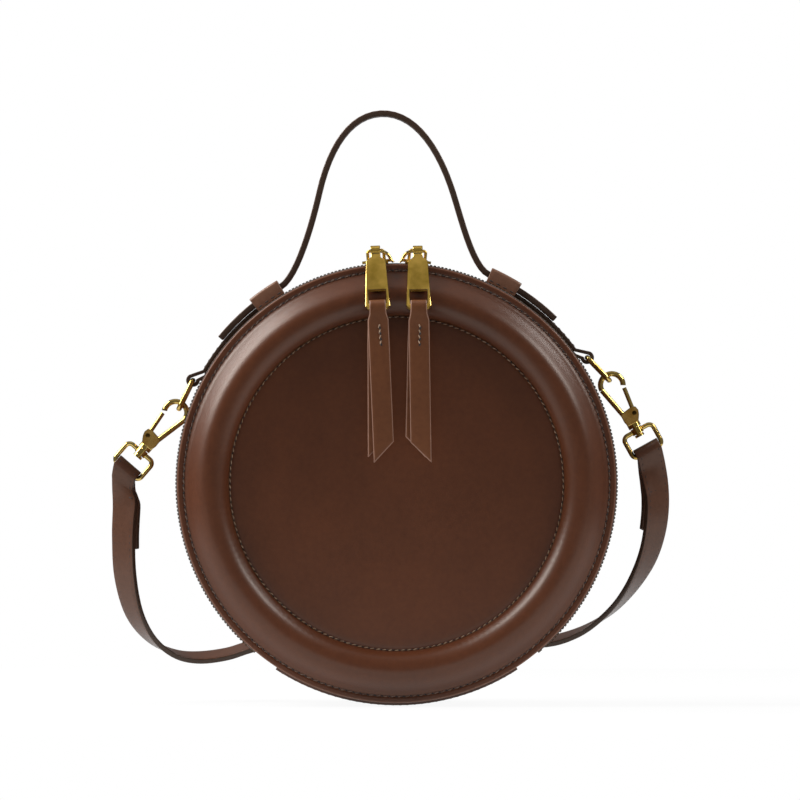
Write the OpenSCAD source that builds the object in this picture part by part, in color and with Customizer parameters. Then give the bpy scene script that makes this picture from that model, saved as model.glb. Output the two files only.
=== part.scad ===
// Circle bag: a round zipped leather bag with a stiff top handle and a clip-on shoulder strap.
// X is to the right of someone facing the front, Z is up, and the front faces -Y.
// The origin is the centre of the flat back panel's outer face.

/* [Body] */
// Radius of the front and back panels
panel_r = 100; // [90:0.5:120]
// Thickness of the leather panels
panel_t = 1.6; // [1.2:0.1:2.2]
// Distance from the back face to the rim of the front panel
rim_d = 72; // [64:1:90]
// Thickness of the gusset leather
gusset_t = 1.6; // [1.2:0.1:2.2]
// How far the gusset lies inside the panels' edge
gusset_inset = 0.3; // [0.2:0.1:1.5]
// Thickness of the stiffening boards
board_t = 1.2; // [0.8:0.1:2]
// Thickness of the lining cloth
lining_t = 0.6; // [0.4:0.1:1]
// Slack between two layers of the body
layer_gap = 0.2; // [0.1:0.05:0.3]

/* [Front ring] */
// Width of the flat rim outside the padded ring
rim_w = 6; // [4:0.5:9]
// Width of the padded ring
pad_w = 17.6; // [14:0.2:22]
// Height of the padded ring above the rim
puff_h = 8; // [5:0.5:10]

/* [Zip] */
// Distance from the rim of the front panel back to the middle of the zip
zip_back = 4.6; // [4.4:0.1:6]
// Half of the arc that the zip covers, from the top
zip_half_deg = 140; // [120:2:146]
// Angle between two teeth of one row
tooth_step_deg = 2; // [1.6:0.2:3]
// Length of a tooth across the zip
tooth_len = 3.2; // [2.8:0.1:4]
// Width of a tooth along the zip
tooth_w = 1.1; // [0.8:0.05:1.3]
// Height of a tooth
tooth_h = 3.2; // [2.4:0.1:4]
// How far the two rows of teeth reach into each other
mesh_depth = 2.2; // [1.6:0.1:2.6]
// Thickness of the zip tape
tape_t = 0.8; // [0.5:0.1:1]
// Width of rear tape that shows beside the teeth
tape_show = 4; // [2:0.5:7]

/* [Sliders] */
// Angle from the top of the bag to the middle of each slider
slider_deg = 5.2; // [4.8:0.1:7]
// Length of a slider along the zip
slider_len = 13; // [11:0.5:15]
// Width of a slider's upper plate across the zip
slider_w = 8.4; // [7.6:0.2:9]
// Thickness of a slider's plates
slider_t = 1.2; // [1:0.1:1.6]
// Height of the pull's pivot above the panels' edge
bail_rise = 6.6; // [6.2:0.1:8]
// Thickness of the bail
bail_t = 1.4; // [1.1:0.1:1.8]
// Running gap of the metal parts
metal_gap = 0.3; // [0.2:0.05:0.4]

/* [Pull plates] */
// Length of a pull plate from its pivot to its end
plate_len = 32.2; // [30:0.5:38]
// Width of a pull plate at its lower end
plate_w = 11.2; // [10:0.2:13]
// Width of a pull plate at its shoulders
shoulder_w = 9; // [8:0.2:10]
// Width of a pull plate's neck
neck_w = 4.4; // [3.6:0.1:5]
// Thickness of a pull plate
plate_t = 1.8; // [1.4:0.1:2.4]
// Width of the slot for the leather
slot_w = 8; // [7:0.1:8.6]
// Height of the slot for the leather
slot_h = 4.4; // [3.6:0.1:5.4]
// Thickness of the bar below the slot
slot_bar = 3; // [2.4:0.1:4]

/* [Leather pulls] */
// Length of the leather pulls below the bar
pull_len = 72; // [50:1:80]
// Width of the leather pulls
pull_w = 7.4; // [6:0.1:8]
// Thickness of one layer of the leather pulls
pull_t = 1.2; // [0.9:0.1:1.6]
// How much the leather widens below the plate
pull_flare = 2; // [0:0.5:3]

/* [Handle] */
// Height of the handle's crown above the middle of the bag
handle_top = 170; // [155:1:185]
// Width of the handle strap
handle_w = 14.6; // [12:0.2:18]
// Thickness of the handle strap
handle_t = 2.7; // [2:0.1:3.6]
// Distance from the back face to the middle of the handle
handle_d = 30; // [26:0.5:34]
// Turn of the handle about the middle of the bag, to the left
handle_turn = 3.3; // [0:0.1:5]
// Angle from the crown to the middle of each keeper
keeper_deg = 31.4; // [29:0.2:34]
// Length of a keeper along the handle
keeper_len = 15; // [12:0.5:18]
// Thickness of a keeper
keeper_t = 1.6; // [1.2:0.1:2]
// Angle from the keeper to the handle's end
tail_deg = 16; // [12:0.5:18]

/* [Ring tabs] */
// Angle from the handle's crown to each ring's inner bar
tab_deg = 60; // [58:0.5:64]
// Width of a ring tab
tab_w = 12.5; // [10:0.5:14]
// Thickness of one layer of a ring tab
tab_t = 1.6; // [1.2:0.1:2]

/* [Rings and hooks] */
// Diameter of the rings' wire
wire_d = 2.2; // [1.8:0.1:2.6]
// Length of a tab ring, between wire middles
ring_len = 14.6; // [12:0.2:17]
// Width of a tab ring, between wire middles
ring_w = 16; // [15:0.5:18]
// Corner radius of the rings, at the wire's middle
ring_corner = 2.4; // [2:0.1:3]
// Diameter of the hooks' wire
hook_wire = 2.5; // [2.2:0.1:2.8]
// Radius of a hook's bight, at the wire's middle
bight_r = 5.2; // [4.8:0.1:6]
// Distance from a hook's bight to its collar
hook_len = 24; // [22:0.5:26]
// Diameter of a hook's collar
collar_d = 6; // [5.4:0.1:7]
// Height of a hook's collar
collar_h = 3.4; // [3:0.1:4.5]
// Diameter of the swivel post
post_d = 2.6; // [2.2:0.1:3]
// Diameter of the gate's rivet
rivet_d = 1.6; // [1.4:0.1:1.8]
// Length of a strap ring, between wire middles
dring_len = 11; // [9:0.2:13]
// Width of a strap ring, between wire middles
dring_w = 15; // [14.4:0.2:17]

/* [Shoulder strap] */
// Width of the shoulder strap
strap_w = 12.5; // [11:0.1:13]
// Thickness of the shoulder strap
strap_t = 2.4; // [2:0.1:2.8]
// Length of the doubled end below each strap ring
doubled_len = 34; // [26:1:40]

/* [Hidden] */
$fn = 72;

LEATHER = "#5a3a2c";
EDGE = "#2c1c16";
CLOTH = "#8a7358";
GOLD = "#b8963c";
BOARD = "#b9a88c";
FOAM = "#d8d2c0";

// Overrun of cuts past the faces they cut
over = 1;
// Air between soft or curved pieces that lie on each other
air = 0.35;

// The body, from the back face forwards
lining_r = panel_r - 5 * gusset_t;
gusset_r = panel_r - gusset_inset;
gusset_in = gusset_r - gusset_t;
zip_d = rim_d - zip_back;
front_root_d = zip_d - mesh_depth / 2 + tooth_len;
rear_root_d = zip_d + mesh_depth / 2 - tooth_len;
gusset_d = rear_root_d - tape_show;
panel_back_d = rim_d - panel_t;
seam_lap = 7;
tooth_mid_r = gusset_r - tape_t / 2;
tooth_top = tooth_mid_r + tooth_h / 2;
tooth_foot = tooth_mid_r - tooth_h / 2;
stop_deg = 1.2;

// The padded ring of the front
ring_out = panel_r - rim_w;
centre_r = ring_out - pad_w;
ring_mid = (centre_r + ring_out) / 2;
ring_half = pad_w / 2;
crest_r = (ring_half * ring_half + puff_h * puff_h) / (2 * puff_h);
crest_d = rim_d + puff_h - crest_r;

// The sliders and their pulls
wedge_deg = slider_deg - 2.6;
part_deg = wedge_deg + 1.6;
wedge_d = 1.6;
plate_low_r = tooth_foot - metal_gap - slider_t;
plate_high_r = tooth_top + metal_gap;
lower_half_w = front_root_d - zip_d - metal_gap;
bail_r = panel_r + bail_rise;
bail_forward = 3;
bail_d = zip_d + bail_forward;
bail_corner = 1.2;
bail_half = neck_w / 2 + metal_gap + bail_corner;
eye_gap = 0.5;
eye_in = bail_t / 2 + eye_gap;
eye_out = eye_in + 0.9 * slider_t;
corner_d = rim_d - bail_d;
corner_far = sqrt(corner_d * corner_d + bail_rise * bail_rise);
corner_lean = atan2(corner_d, bail_rise) + asin((plate_t / 2 + air) / corner_far);
crest_far = norm([bail_r - ring_mid, crest_d - bail_d]);
crest_lean = atan2(crest_d - bail_d, bail_r - ring_mid) + asin((crest_r + plate_t / 2 + air) / crest_far);
edge_side = rim_d - zip_back + slider_w / 2 - bail_d;
edge_down = bail_r - plate_high_r - slider_t;
edge_lean = atan2(edge_side, edge_down) + asin((plate_t / 2 + air) / norm([edge_side, edge_down]));
lean_deg = max(corner_lean, crest_lean, edge_lean);
hang_left_deg = -2.4;
hang_right_deg = -0.9;
shoulder_y = 6;
shoulder_slope = 2;
plate_chamfer = 1.6;
bar_y = plate_len - slot_bar / 2;
loop_in = sqrt(slot_bar * slot_bar + plate_t * plate_t) / 2 + air;
loop_out = loop_in + pull_t;
join_y = 16;
flare_y = 12;
pull_splay_deg = 2.2;
back_trim = 2.4;

// The stack of leather at the keepers
tab_low = gusset_r + layer_gap;
tab_top = tab_low + 2 * tab_t;
handle_r = tab_top + air + handle_t / 2;
keeper_in_r = handle_r + handle_t / 2 + air;
keeper_half_deg = asin(keeper_len / 2 / handle_r);
keeper_half_w = max(handle_w, tab_w) / 2 + air;
tab_start_deg = keeper_deg - keeper_half_deg + 1;
tab_loop_in = wire_d / 2 + air;
tab_loop_out = tab_loop_in + tab_t;
tab_lift = 2;
tab_loop_r = tab_low + tab_loop_out + tab_lift;
tab_end_deg = tab_deg - asin(wire_d / 2 / tab_loop_r);

// The handle's arch, from the crown down one side
crown_reach = 13.5;
crown_shift = 2.4;
leg_half = 30.3;
leg_drop = 35;
shoulder_half = 24;
shoulder_drop = 13;
knee_half = 33.9;
knee_drop = 47.5;
foot_reach = 9;
arch_steps = 12;
tail_steps = 8;

// The rings, hooks and strap rings
ring_hang_left = 26;
ring_hang_right = 44;
hook_hang_left = 41;
hook_hang_right = 29;
nose_deg = -30;
bight_gap = 0.4;
bight_rise = (hook_wire + wire_d) / 2 + bight_gap;
rivet_x = 2.8;
rivet_y = hook_len - 2.6;
spine_x = 1.8;
cheek_r = 2.1;
cheek_gap = 0.2;
gate_t = 1.6;
gate_d = 2;
cheek_h = gate_t + 2 * cheek_gap + 1.2 * gate_t;
running = 0.05;
boss_d = 5.4;
boss_h = 3;
head_d = 4.4;
head_h = 1.2;
strap_bar_y = hook_len + collar_h + metal_gap + boss_h / 2;
strap_tube_in = wire_d / 2 + air;
strap_tube_out = strap_tube_in + strap_t;
strap_tube_w = strap_w - 0.5;

// The patch under the bag
patch_half_deg = 33;
patch_side = 12;

// Where the strap runs, from the left ring behind the bag to the right ring. Each row holds
// the place to the right and up in panel radii, the place forwards in handle distances, the
// turn of the strap's width from the plane of the bag towards the front, and its skew.
route_shares = [[-1.250, -0.080, 1.00, 30, -15], [-1.257, -0.250, 0.97, 38, 0],
                [-1.250, -0.430, 0.87, 42, 0], [-1.212, -0.600, 0.63, 55, 0],
                [-1.137, -0.722, 0.30, 72, 0], [-1.035, -0.793, 0.00, 86, 0],
                [-0.925, -0.815, -0.22, 90, 0], [-0.790, -0.800, -0.30, 90, 0],
                [-0.650, -0.760, -0.30, 90, 0], [-0.400, -0.730, -0.30, 90, 0],
                [0.000, -0.720, -0.30, 90, 0], [0.400, -0.728, -0.30, 90, 0],
                [0.660, -0.745, -0.30, 90, 0], [0.835, -0.703, -0.28, 90, 0],
                [0.977, -0.612, -0.10, 84, 0], [1.075, -0.500, 0.30, 70, 0],
                [1.152, -0.356, 0.70, 52, 0], [1.190, -0.210, 0.93, 40, 0],
                [1.198, -0.060, 1.00, 32, 8]];
start_share_left = [-1.25999, 0.00676];
start_share_right = [1.17286, 0.09269];
route_out_share = 1.25;
end_turn = 12;
end_skew_left = -50;
end_skew_right = 22;
route_steps = 3;

// Places on the bag seen from the front, with angles from the top and positive to the right
function rim_point(angle, r) = [r * sin(angle), r * cos(angle)];
function down(angle) = [sin(angle), -cos(angle)];
function ring_hang(side) = side < 0 ? ring_hang_left : ring_hang_right;
function hook_hang(side) = side < 0 ? hook_hang_left : hook_hang_right;
function tab_at(side) = rim_point(side * tab_deg - handle_turn, tab_loop_r);
function ring_end(side) = tab_at(side) + ring_len * down(side * ring_hang(side));
function bight_at(side) = ring_end(side) - bight_rise * down(side * hook_hang(side));
function strap_bar_at(side) = bight_at(side) + (strap_bar_y + dring_len) * down(side * hook_hang(side));
function strap_start(side) = strap_bar_at(side) + (strap_tube_out + layer_gap + strap_t / 2) * down(side * 14);

// Curves
function bezier(a, b, c, d, t) =
    a * pow(1 - t, 3) + 3 * b * t * pow(1 - t, 2) + 3 * c * t * t * (1 - t) + d * pow(t, 3);
function smooth(a, b, c, d, t) =
    0.5 * (2 * b + (c - a) * t + (2 * a - 5 * b + 4 * c - d) * t * t + (3 * b - a - 3 * c + d) * pow(t, 3));
function unit(v) = v / norm(v);
function reversed(list) = [for (i = [len(list) - 1 : -1 : 0]) list[i]];
function clamped(list, i) = list[max(0, min(len(list) - 1, i))];
function heading(list, i) = unit(clamped(list, i + 1) - clamped(list, i - 1));
function sideways(v) = [-v.y, v.x];

// The handle's middle line from the crown to one end
foot_deg = keeper_deg - keeper_half_deg;
function arch_point(side, half, drop, lean_share) = [side * half + crown_shift * lean_share, handle_top - drop];
function foot_point(side) = rim_point(side * foot_deg, handle_r);
function foot_reach_point(side) = foot_point(side) - foot_reach * [side * cos(foot_deg), -sin(foot_deg)];
function half_handle(side) = concat(
    [for (i = [0 : arch_steps - 1])
        bezier(arch_point(side, 0, 0, 1), arch_point(side, crown_reach, 0, 1),
               arch_point(side, shoulder_half, shoulder_drop, 1), arch_point(side, leg_half, leg_drop, 1),
               i / arch_steps)],
    [for (i = [0 : arch_steps])
        bezier(arch_point(side, leg_half, leg_drop, 1), arch_point(side, knee_half, knee_drop, 1),
               foot_reach_point(side), foot_point(side), i / arch_steps)],
    [for (i = [1 : tail_steps])
        rim_point(side * (foot_deg + (keeper_half_deg + tail_deg) * i / tail_steps), handle_r)]);
handle_line = concat(reversed(half_handle(-1)), [for (i = [1 : len(half_handle(1)) - 1]) half_handle(1)[i]]);

// How far the rings carry the strap's ends from where the panels' radius alone would put them
function route_shift(side) =
    side < 0 ? strap_start(-1) - start_share_left * panel_r : strap_start(1) - start_share_right * panel_r;

// The strap's middle line, with its turn and skew
strap_rows = concat(
    [concat(strap_start(-1), [handle_d, end_turn, end_skew_left])],
    [for (row = route_shares)
        let (spot = [row[0], row[1]] * panel_r + abs(row[0]) / route_out_share * route_shift(row[0]))
        [spot.x, spot.y, row[2] * handle_d, row[3], row[4]]],
    [concat(strap_start(1), [handle_d, end_turn, end_skew_right])]);
strap_line = concat(
    [for (i = [0 : len(strap_rows) - 2], k = [0 : route_steps - 1])
        smooth(clamped(strap_rows, i - 1), strap_rows[i], strap_rows[i + 1], clamped(strap_rows, i + 2),
               k / route_steps)],
    [strap_rows[len(strap_rows) - 1]]);
strap_mid = [for (row = strap_line) [row[0], row[1], row[2]]];
strap_steps = [for (i = [1 : len(strap_mid) - 1]) norm(strap_mid[i] - strap_mid[i - 1])];
function run_to(i) = i == 0 ? 0 : run_to(i - 1) + strap_steps[i - 1];
strap_len = run_to(len(strap_mid) - 1);
echo(strap_length = strap_len);
function strap_across(i) =
    let (way = heading(strap_mid, i), flat = unit([way.x, way.y]), row = strap_line[i],
         inward = sideways(flat),
         skewed = [inward.x * cos(row[4]) - inward.y * sin(row[4]),
                   inward.x * sin(row[4]) + inward.y * cos(row[4])])
    [skewed.x * cos(row[3]), skewed.y * cos(row[3]), sin(row[3])];
function strap_normal(i) = unit(cross(heading(strap_mid, i), strap_across(i)));
function strap_corners(i, offset) =
    let (middle = strap_mid[i] + offset * strap_normal(i),
         half_w = strap_w / 2 * strap_across(i), half_t = strap_t / 2 * strap_normal(i))
    [middle - half_w - half_t, middle + half_w - half_t, middle + half_w + half_t, middle - half_w + half_t];
lining_left = [for (i = [0 : len(strap_mid) - 1]) if (run_to(i) <= doubled_len) i];
lining_right = [for (i = [0 : len(strap_mid) - 1]) if (strap_len - run_to(i) <= doubled_len) i];
lining_offset = -(strap_t + air);

// Frames: the plane of the bag seen from the front, with depth towards the viewer
module facing() rotate([90, 0, 0]) children();
module turned() rotate([0, 0, handle_turn]) children();
module on_rim(angle, r, depth) rotate([0, 0, -angle]) translate([0, r, depth]) children();
module sector(middle, half) rotate([0, 0, 90 - middle - half]) rotate_extrude(angle = 2 * half) children();
module hoop(low_r, high_r, back, front) rotate_extrude() section(low_r, high_r, back, front);
module section(low_r, high_r, back, front) translate([low_r, back]) square([high_r - low_r, front - back]);
module round_plate(r, back, front) translate([0, 0, back]) cylinder(h = front - back, r = r);
module hook_place(side)
    translate([bight_at(side).x, bight_at(side).y, handle_d])
    rotate([0, 0, side * hook_hang(side)])
    mirror([side < 0 ? 1 : 0, 0, 0]) children();
module pull_place(side)
    translate([side * bail_r * sin(slider_deg), bail_r * cos(slider_deg), bail_d])
    rotate([0, 0, -(side < 0 ? hang_left_deg : hang_right_deg)])
    rotate([-lean_deg, 0, 0]) children();

// A straight round rod between two points
module rod(from, to, r)
    let (way = to - from, far = norm(way))
    translate(from) rotate([0, acos(way.z / far), atan2(way.y, way.x)]) cylinder(h = far, r = r);

// A rectangle of wire with round corners, hanging down from its first bar
module wire_loop(length, width, corner, wire) {
    for (y = [0, -length])
        translate([0, y, 0]) cylinder(h = width - 2 * corner, r = wire / 2, center = true);
    for (side = [-1, 1])
        translate([0, -length / 2, side * width / 2])
            rotate([90, 0, 0]) cylinder(h = length - 2 * corner, r = wire / 2, center = true);
    for (quarter = [0 : 3])
        translate([0, -length / 2, 0])
            rotate([0, -90, 0])
            rotate([0, 0, 90 * quarter])
            translate(quarter % 2 == 0 ? [width / 2 - corner, length / 2 - corner, 0]
                                       : [length / 2 - corner, width / 2 - corner, 0])
            rotate_extrude(angle = 90) translate([corner, 0]) circle(r = wire / 2);
}

module back_panel() color(LEATHER) facing() round_plate(panel_r, 0, panel_t);

module back_board() color(BOARD) facing() round_plate(lining_r, panel_t, panel_t + board_t);

module back_lining() color(CLOTH) facing() round_plate(lining_r, panel_t + board_t, panel_t + board_t + lining_t);

module rear_gusset() color(LEATHER) facing() hoop(gusset_in, gusset_r, panel_t, gusset_d);

module gusset_lining() color(CLOTH) facing()
    hoop(gusset_in - 2 * layer_gap - tape_t - lining_t, gusset_in - 2 * layer_gap - tape_t, panel_t, gusset_d);

module hinge_fold() color(LEATHER) facing()
    sector(180, 180 - zip_half_deg) section(gusset_in, gusset_r, gusset_d, panel_back_d);

module bottom_patch() color(LEATHER) facing()
    sector(180, patch_half_deg)
        section(gusset_r + layer_gap, gusset_r + layer_gap + panel_t, patch_side, gusset_d - patch_side / 4);

module zip_tape_rear() color(CLOTH) facing() sector(0, zip_half_deg) {
    section(gusset_r - tape_t, gusset_r, gusset_d, rear_root_d);
    section(gusset_in - layer_gap - tape_t, gusset_r, gusset_d, gusset_d + tape_t);
    section(gusset_in - layer_gap - tape_t, gusset_in - layer_gap, gusset_d - seam_lap, gusset_d + tape_t);
}

module zip_tape_front() color(CLOTH) facing()
    sector(0, zip_half_deg) section(lining_r + layer_gap, gusset_r, front_root_d, panel_back_d);

module tooth(angle, back)
    on_rim(angle, tooth_foot, back) translate([-tooth_w / 2, 0, 0]) cube([tooth_w, tooth_h, tooth_len]);

module teeth_row(first, back)
    for (angle = [first : tooth_step_deg : zip_half_deg - stop_deg - tooth_step_deg / 2])
        if (angle > part_deg)
            for (side = [-1, 1]) tooth(side * angle, back);

module zip_teeth_front() color(GOLD) facing() teeth_row(tooth_step_deg, front_root_d - tooth_len);

module zip_teeth_rear() color(GOLD) facing() teeth_row(tooth_step_deg / 2, rear_root_d);

module zip_stops() color(GOLD) facing()
    for (side = [-1, 1])
        sector(side * (zip_half_deg - stop_deg / 2), stop_deg / 2)
            section(tooth_foot, tooth_top, rear_root_d, rear_root_d + tooth_len / 2);

module handle()
    let (half = [for (i = [0 : len(handle_line) - 1]) handle_t / 2 * sideways(heading(handle_line, i))])
    color(LEATHER) facing() turned()
    translate([0, 0, handle_d - handle_w / 2])
    linear_extrude(handle_w)
    polygon(concat([for (i = [0 : len(half) - 1]) handle_line[i] + half[i]],
                   [for (i = [len(half) - 1 : -1 : 0]) handle_line[i] - half[i]]));

module keeper(side) color(LEATHER) facing() turned()
    sector(side * keeper_deg, keeper_half_deg) difference() {
        section(tab_low, keeper_in_r + keeper_t, handle_d - keeper_half_w - keeper_t,
                handle_d + keeper_half_w + keeper_t);
        section(tab_low - over, keeper_in_r, handle_d - keeper_half_w, handle_d + keeper_half_w);
    }
module keeper_left() keeper(-1);
module keeper_right() keeper(1);

module ring_tab(side) color(EDGE) facing() turned() difference() {
    union() {
        sector(side * (tab_start_deg + tab_end_deg) / 2, (tab_end_deg - tab_start_deg) / 2)
            section(tab_low, tab_top, handle_d - tab_w / 2, handle_d + tab_w / 2);
        on_rim(side * tab_deg, tab_loop_r, handle_d)
            cylinder(h = tab_w - 2 * layer_gap, r = tab_loop_out, center = true);
    }
    on_rim(side * tab_deg, tab_loop_r, handle_d)
        cylinder(h = tab_w + 2 * over, r = tab_loop_in, center = true);
}
module ring_tab_left() ring_tab(-1);
module ring_tab_right() ring_tab(1);

module tab_ring(side) color(GOLD) facing()
    translate([tab_at(side).x, tab_at(side).y, handle_d]) rotate([0, 0, side * ring_hang(side)])
    wire_loop(ring_len, ring_w, ring_corner, wire_d);
module ring_left() tab_ring(-1);
module ring_right() tab_ring(1);

// The leather over the padded ring, with the flat rim outside it
module front_ring_cover() color(LEATHER) facing() rotate_extrude() difference() {
    union() {
        intersection() {
            translate([ring_mid, crest_d]) circle(r = crest_r);
            section(centre_r, panel_r, panel_back_d, rim_d + puff_h + over);
        }
        section(ring_mid, panel_r, panel_back_d, rim_d);
    }
    translate([ring_mid, crest_d]) circle(r = crest_r - panel_t);
}

module ring_padding() color(FOAM) facing() rotate_extrude() intersection() {
    translate([ring_mid, crest_d]) circle(r = crest_r - panel_t - air);
    section(centre_r, ring_out, panel_back_d, rim_d + puff_h);
}

module front_centre_disc() color(LEATHER) facing() round_plate(centre_r - layer_gap, panel_back_d, rim_d);

module front_board() color(BOARD) facing() round_plate(lining_r, panel_back_d - board_t, panel_back_d);

module front_lining() color(CLOTH) facing()
    round_plate(lining_r, panel_back_d - board_t - lining_t, panel_back_d - board_t);

// A slider: two curved plates joined by the wedge that parts the teeth, with a bail on top
plate_half_deg = asin(slider_len / 2 / tooth_top);
tail_share = 0.72;
module slider_outline(width) polygon([
    [-slider_len / 2, -tail_share * width / 2], [slider_len / 2 - plate_chamfer, -width / 2],
    [slider_len / 2, plate_chamfer - width / 2], [slider_len / 2, width / 2 - plate_chamfer],
    [slider_len / 2 - plate_chamfer, width / 2], [-slider_len / 2, tail_share * width / 2]]);
module slider_plate(low_r, width) intersection() {
    sector(0, plate_half_deg + asin(over / tooth_top))
        section(low_r, low_r + slider_t, zip_d - width, zip_d + width);
    translate([0, low_r - over, zip_d]) rotate([-90, 0, 0]) linear_extrude(slider_t + 2 * over)
        slider_outline(width);
}
module bail() {
    straight = bail_half - bail_corner;
    translate([0, bail_r, bail_d]) rotate([0, 90, 0]) cylinder(h = 2 * straight, r = bail_t / 2, center = true);
    for (side = [-1, 1]) {
        translate([side * straight, bail_r - bail_corner, bail_d]) rotate([0, 0, side > 0 ? 0 : 90])
            rotate_extrude(angle = 90) translate([bail_corner, 0]) circle(r = bail_t / 2);
        translate([side * bail_half, plate_high_r + slider_t / 2, bail_d]) rotate([-90, 0, 0])
            cylinder(h = bail_r - bail_corner - plate_high_r - slider_t / 2, r = bail_t / 2);
    }
}
module slider(side) color(GOLD) facing() rotate([0, 0, -side * slider_deg]) mirror([side > 0 ? 1 : 0, 0, 0]) {
    slider_plate(plate_high_r, slider_w);
    slider_plate(plate_low_r, 2 * lower_half_w);
    on_rim(slider_deg - wedge_deg, plate_low_r + slider_t / 2, zip_d) rotate([-90, 0, 0])
        cylinder(h = plate_high_r - plate_low_r, r = wedge_d / 2);
    bail();
}
module slider_left() slider(-1);
module slider_right() slider(1);

module pull_outline() polygon([
    [-neck_w / 2, 0], [neck_w / 2, 0], [neck_w / 2, -shoulder_y + shoulder_slope],
    [shoulder_w / 2, -shoulder_y], [plate_w / 2, -plate_len + plate_chamfer],
    [plate_w / 2 - plate_chamfer, -plate_len], [plate_chamfer - plate_w / 2, -plate_len],
    [-plate_w / 2, -plate_len + plate_chamfer], [-shoulder_w / 2, -shoulder_y],
    [-neck_w / 2, -shoulder_y + shoulder_slope]]);
module pull_plate(side) color(GOLD) facing() pull_place(side) difference() {
    union() {
        translate([0, 0, -plate_t / 2]) linear_extrude(plate_t) pull_outline();
        rotate([0, 90, 0]) cylinder(h = neck_w, r = eye_out, center = true);
    }
    rotate([0, 90, 0]) cylinder(h = neck_w + 2 * over, r = eye_in, center = true);
    translate([-slot_w / 2, slot_bar - plate_len, -plate_t]) cube([slot_w, slot_h, 2 * plate_t]);
}
module pull_plate_left() pull_plate(-1);
module pull_plate_right() pull_plate(1);

// A leather pull: a strip looped round the plate's bar, both layers hanging down
module pull_side_view() polygon([
    [-loop_in - pull_t / 6, 0], [-layer_gap / 4, -join_y], [-layer_gap / 4, -pull_len], [-layer_gap / 4 - pull_t, -pull_len],
    [-layer_gap / 4 - pull_t, -join_y], [-loop_out + pull_t / 6, 0]]);
module pull_front_view(side, far) polygon([
    [-pull_w / 2, 0], [pull_w / 2, 0], [pull_w / 2, -loop_out], [(pull_w + pull_flare) / 2, -loop_out - flare_y],
    [(pull_w + pull_flare) / 2, -far + (side < 0 ? pull_w + pull_flare : 0)],
    [-(pull_w + pull_flare) / 2, -far + (side < 0 ? 0 : pull_w + pull_flare)],
    [-(pull_w + pull_flare) / 2, -loop_out - flare_y], [-pull_w / 2, -loop_out]]);
module pull_layer(side, far) intersection() {
    rotate([0, 90, 0]) translate([0, 0, -plate_w]) linear_extrude(2 * plate_w) pull_side_view();
    translate([0, 0, -over]) linear_extrude(loop_out + 2 * over) pull_front_view(side, far);
}
module leather_pull(side) color(LEATHER) facing() pull_place(side)
    translate([0, -bar_y, 0]) rotate([lean_deg, 0, 0]) difference() {
        union() {
            rotate([0, 90, 0]) cylinder(h = pull_w, r = loop_out, center = true);
            pull_layer(side, pull_len);
            rotate([0, 0, -pull_splay_deg]) mirror([0, 0, 1]) pull_layer(side, pull_len - back_trim);
        }
        rotate([0, 90, 0]) cylinder(h = pull_w + 2 * over, r = loop_in, center = true);
    }
module leather_pull_left() leather_pull(-1);
module leather_pull_right() leather_pull(1);

// A snap hook, hanging from its bight, with the gate on its outer side
eye_r = cheek_r - cheek_gap;
module hook(side) color(GOLD) facing() hook_place(side) {
    translate([0, -bight_r, 0]) rotate([0, 0, nose_deg]) rotate_extrude(angle = 180 - nose_deg)
        translate([bight_r, 0]) circle(r = hook_wire / 2);
    translate([-bight_r, -bight_r, 0]) sphere(r = hook_wire / 2);
    rod([-bight_r, -bight_r, 0], [-spine_x, -rivet_y, 0], hook_wire / 2);
    difference() {
        union() {
            translate([0, -hook_len, 0]) rotate([-90, 0, 0])
                cylinder(h = hook_len - rivet_y + cheek_r, r1 = collar_d / 2, r2 = cheek_r);
            translate([rivet_x, -rivet_y, 0]) cylinder(h = cheek_h, r = cheek_r, center = true);
        }
        translate([rivet_x - cheek_r, -rivet_y - cheek_r, -gate_t / 2 - cheek_gap])
            cube([2 * cheek_r + over, 3 * cheek_r, gate_t + 2 * cheek_gap]);
        translate([rivet_x, -rivet_y, 0]) cylinder(h = cheek_h + 2 * over, r = rivet_d / 2, center = true);
    }
    translate([0, -hook_len, 0]) rotate([90, 0, 0]) {
        cylinder(h = collar_h, r = collar_d / 2);
        cylinder(h = collar_h + 2 * metal_gap + boss_h, r = post_d / 2);
        translate([0, 0, collar_h + 2 * metal_gap + boss_h]) cylinder(h = head_h, r = head_d / 2);
    }
}
module hook_left() hook(-1);
module hook_right() hook(1);

nose_end = [bight_r * cos(nose_deg), -bight_r + bight_r * sin(nose_deg)];
gate_way = nose_end - [rivet_x, -rivet_y];
gate_len = norm(gate_way) - hook_wire / 2;
module gate(side) color(GOLD) facing() hook_place(side) translate([rivet_x, -rivet_y, 0]) difference() {
    union() {
        cylinder(h = gate_t, r = eye_r, center = true);
        rod([0, 0, 0], concat(gate_len * unit(gate_way), [0]), gate_d / 2);
    }
    cylinder(h = gate_d + 2 * over, r = rivet_d / 2 + running, center = true);
}
module gate_left() gate(-1);
module gate_right() gate(1);

module gate_rivet(side) color(GOLD) facing() hook_place(side)
    translate([rivet_x, -rivet_y, 0]) cylinder(h = cheek_h, r = rivet_d / 2, center = true);
module gate_rivet_left() gate_rivet(-1);
module gate_rivet_right() gate_rivet(1);

module strap_ring(side) color(GOLD) facing() hook_place(side) translate([0, -strap_bar_y, 0]) difference() {
    union() {
        rotate([0, 90, 0]) wire_loop(dring_len, dring_w, ring_corner, wire_d);
        rotate([90, 0, 0]) cylinder(h = boss_h, r = boss_d / 2, center = true);
    }
    rotate([90, 0, 0]) cylinder(h = boss_h + 2 * over, r = post_d / 2 + running, center = true);
}
module strap_ring_left() strap_ring(-1);
module strap_ring_right() strap_ring(1);

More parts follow.
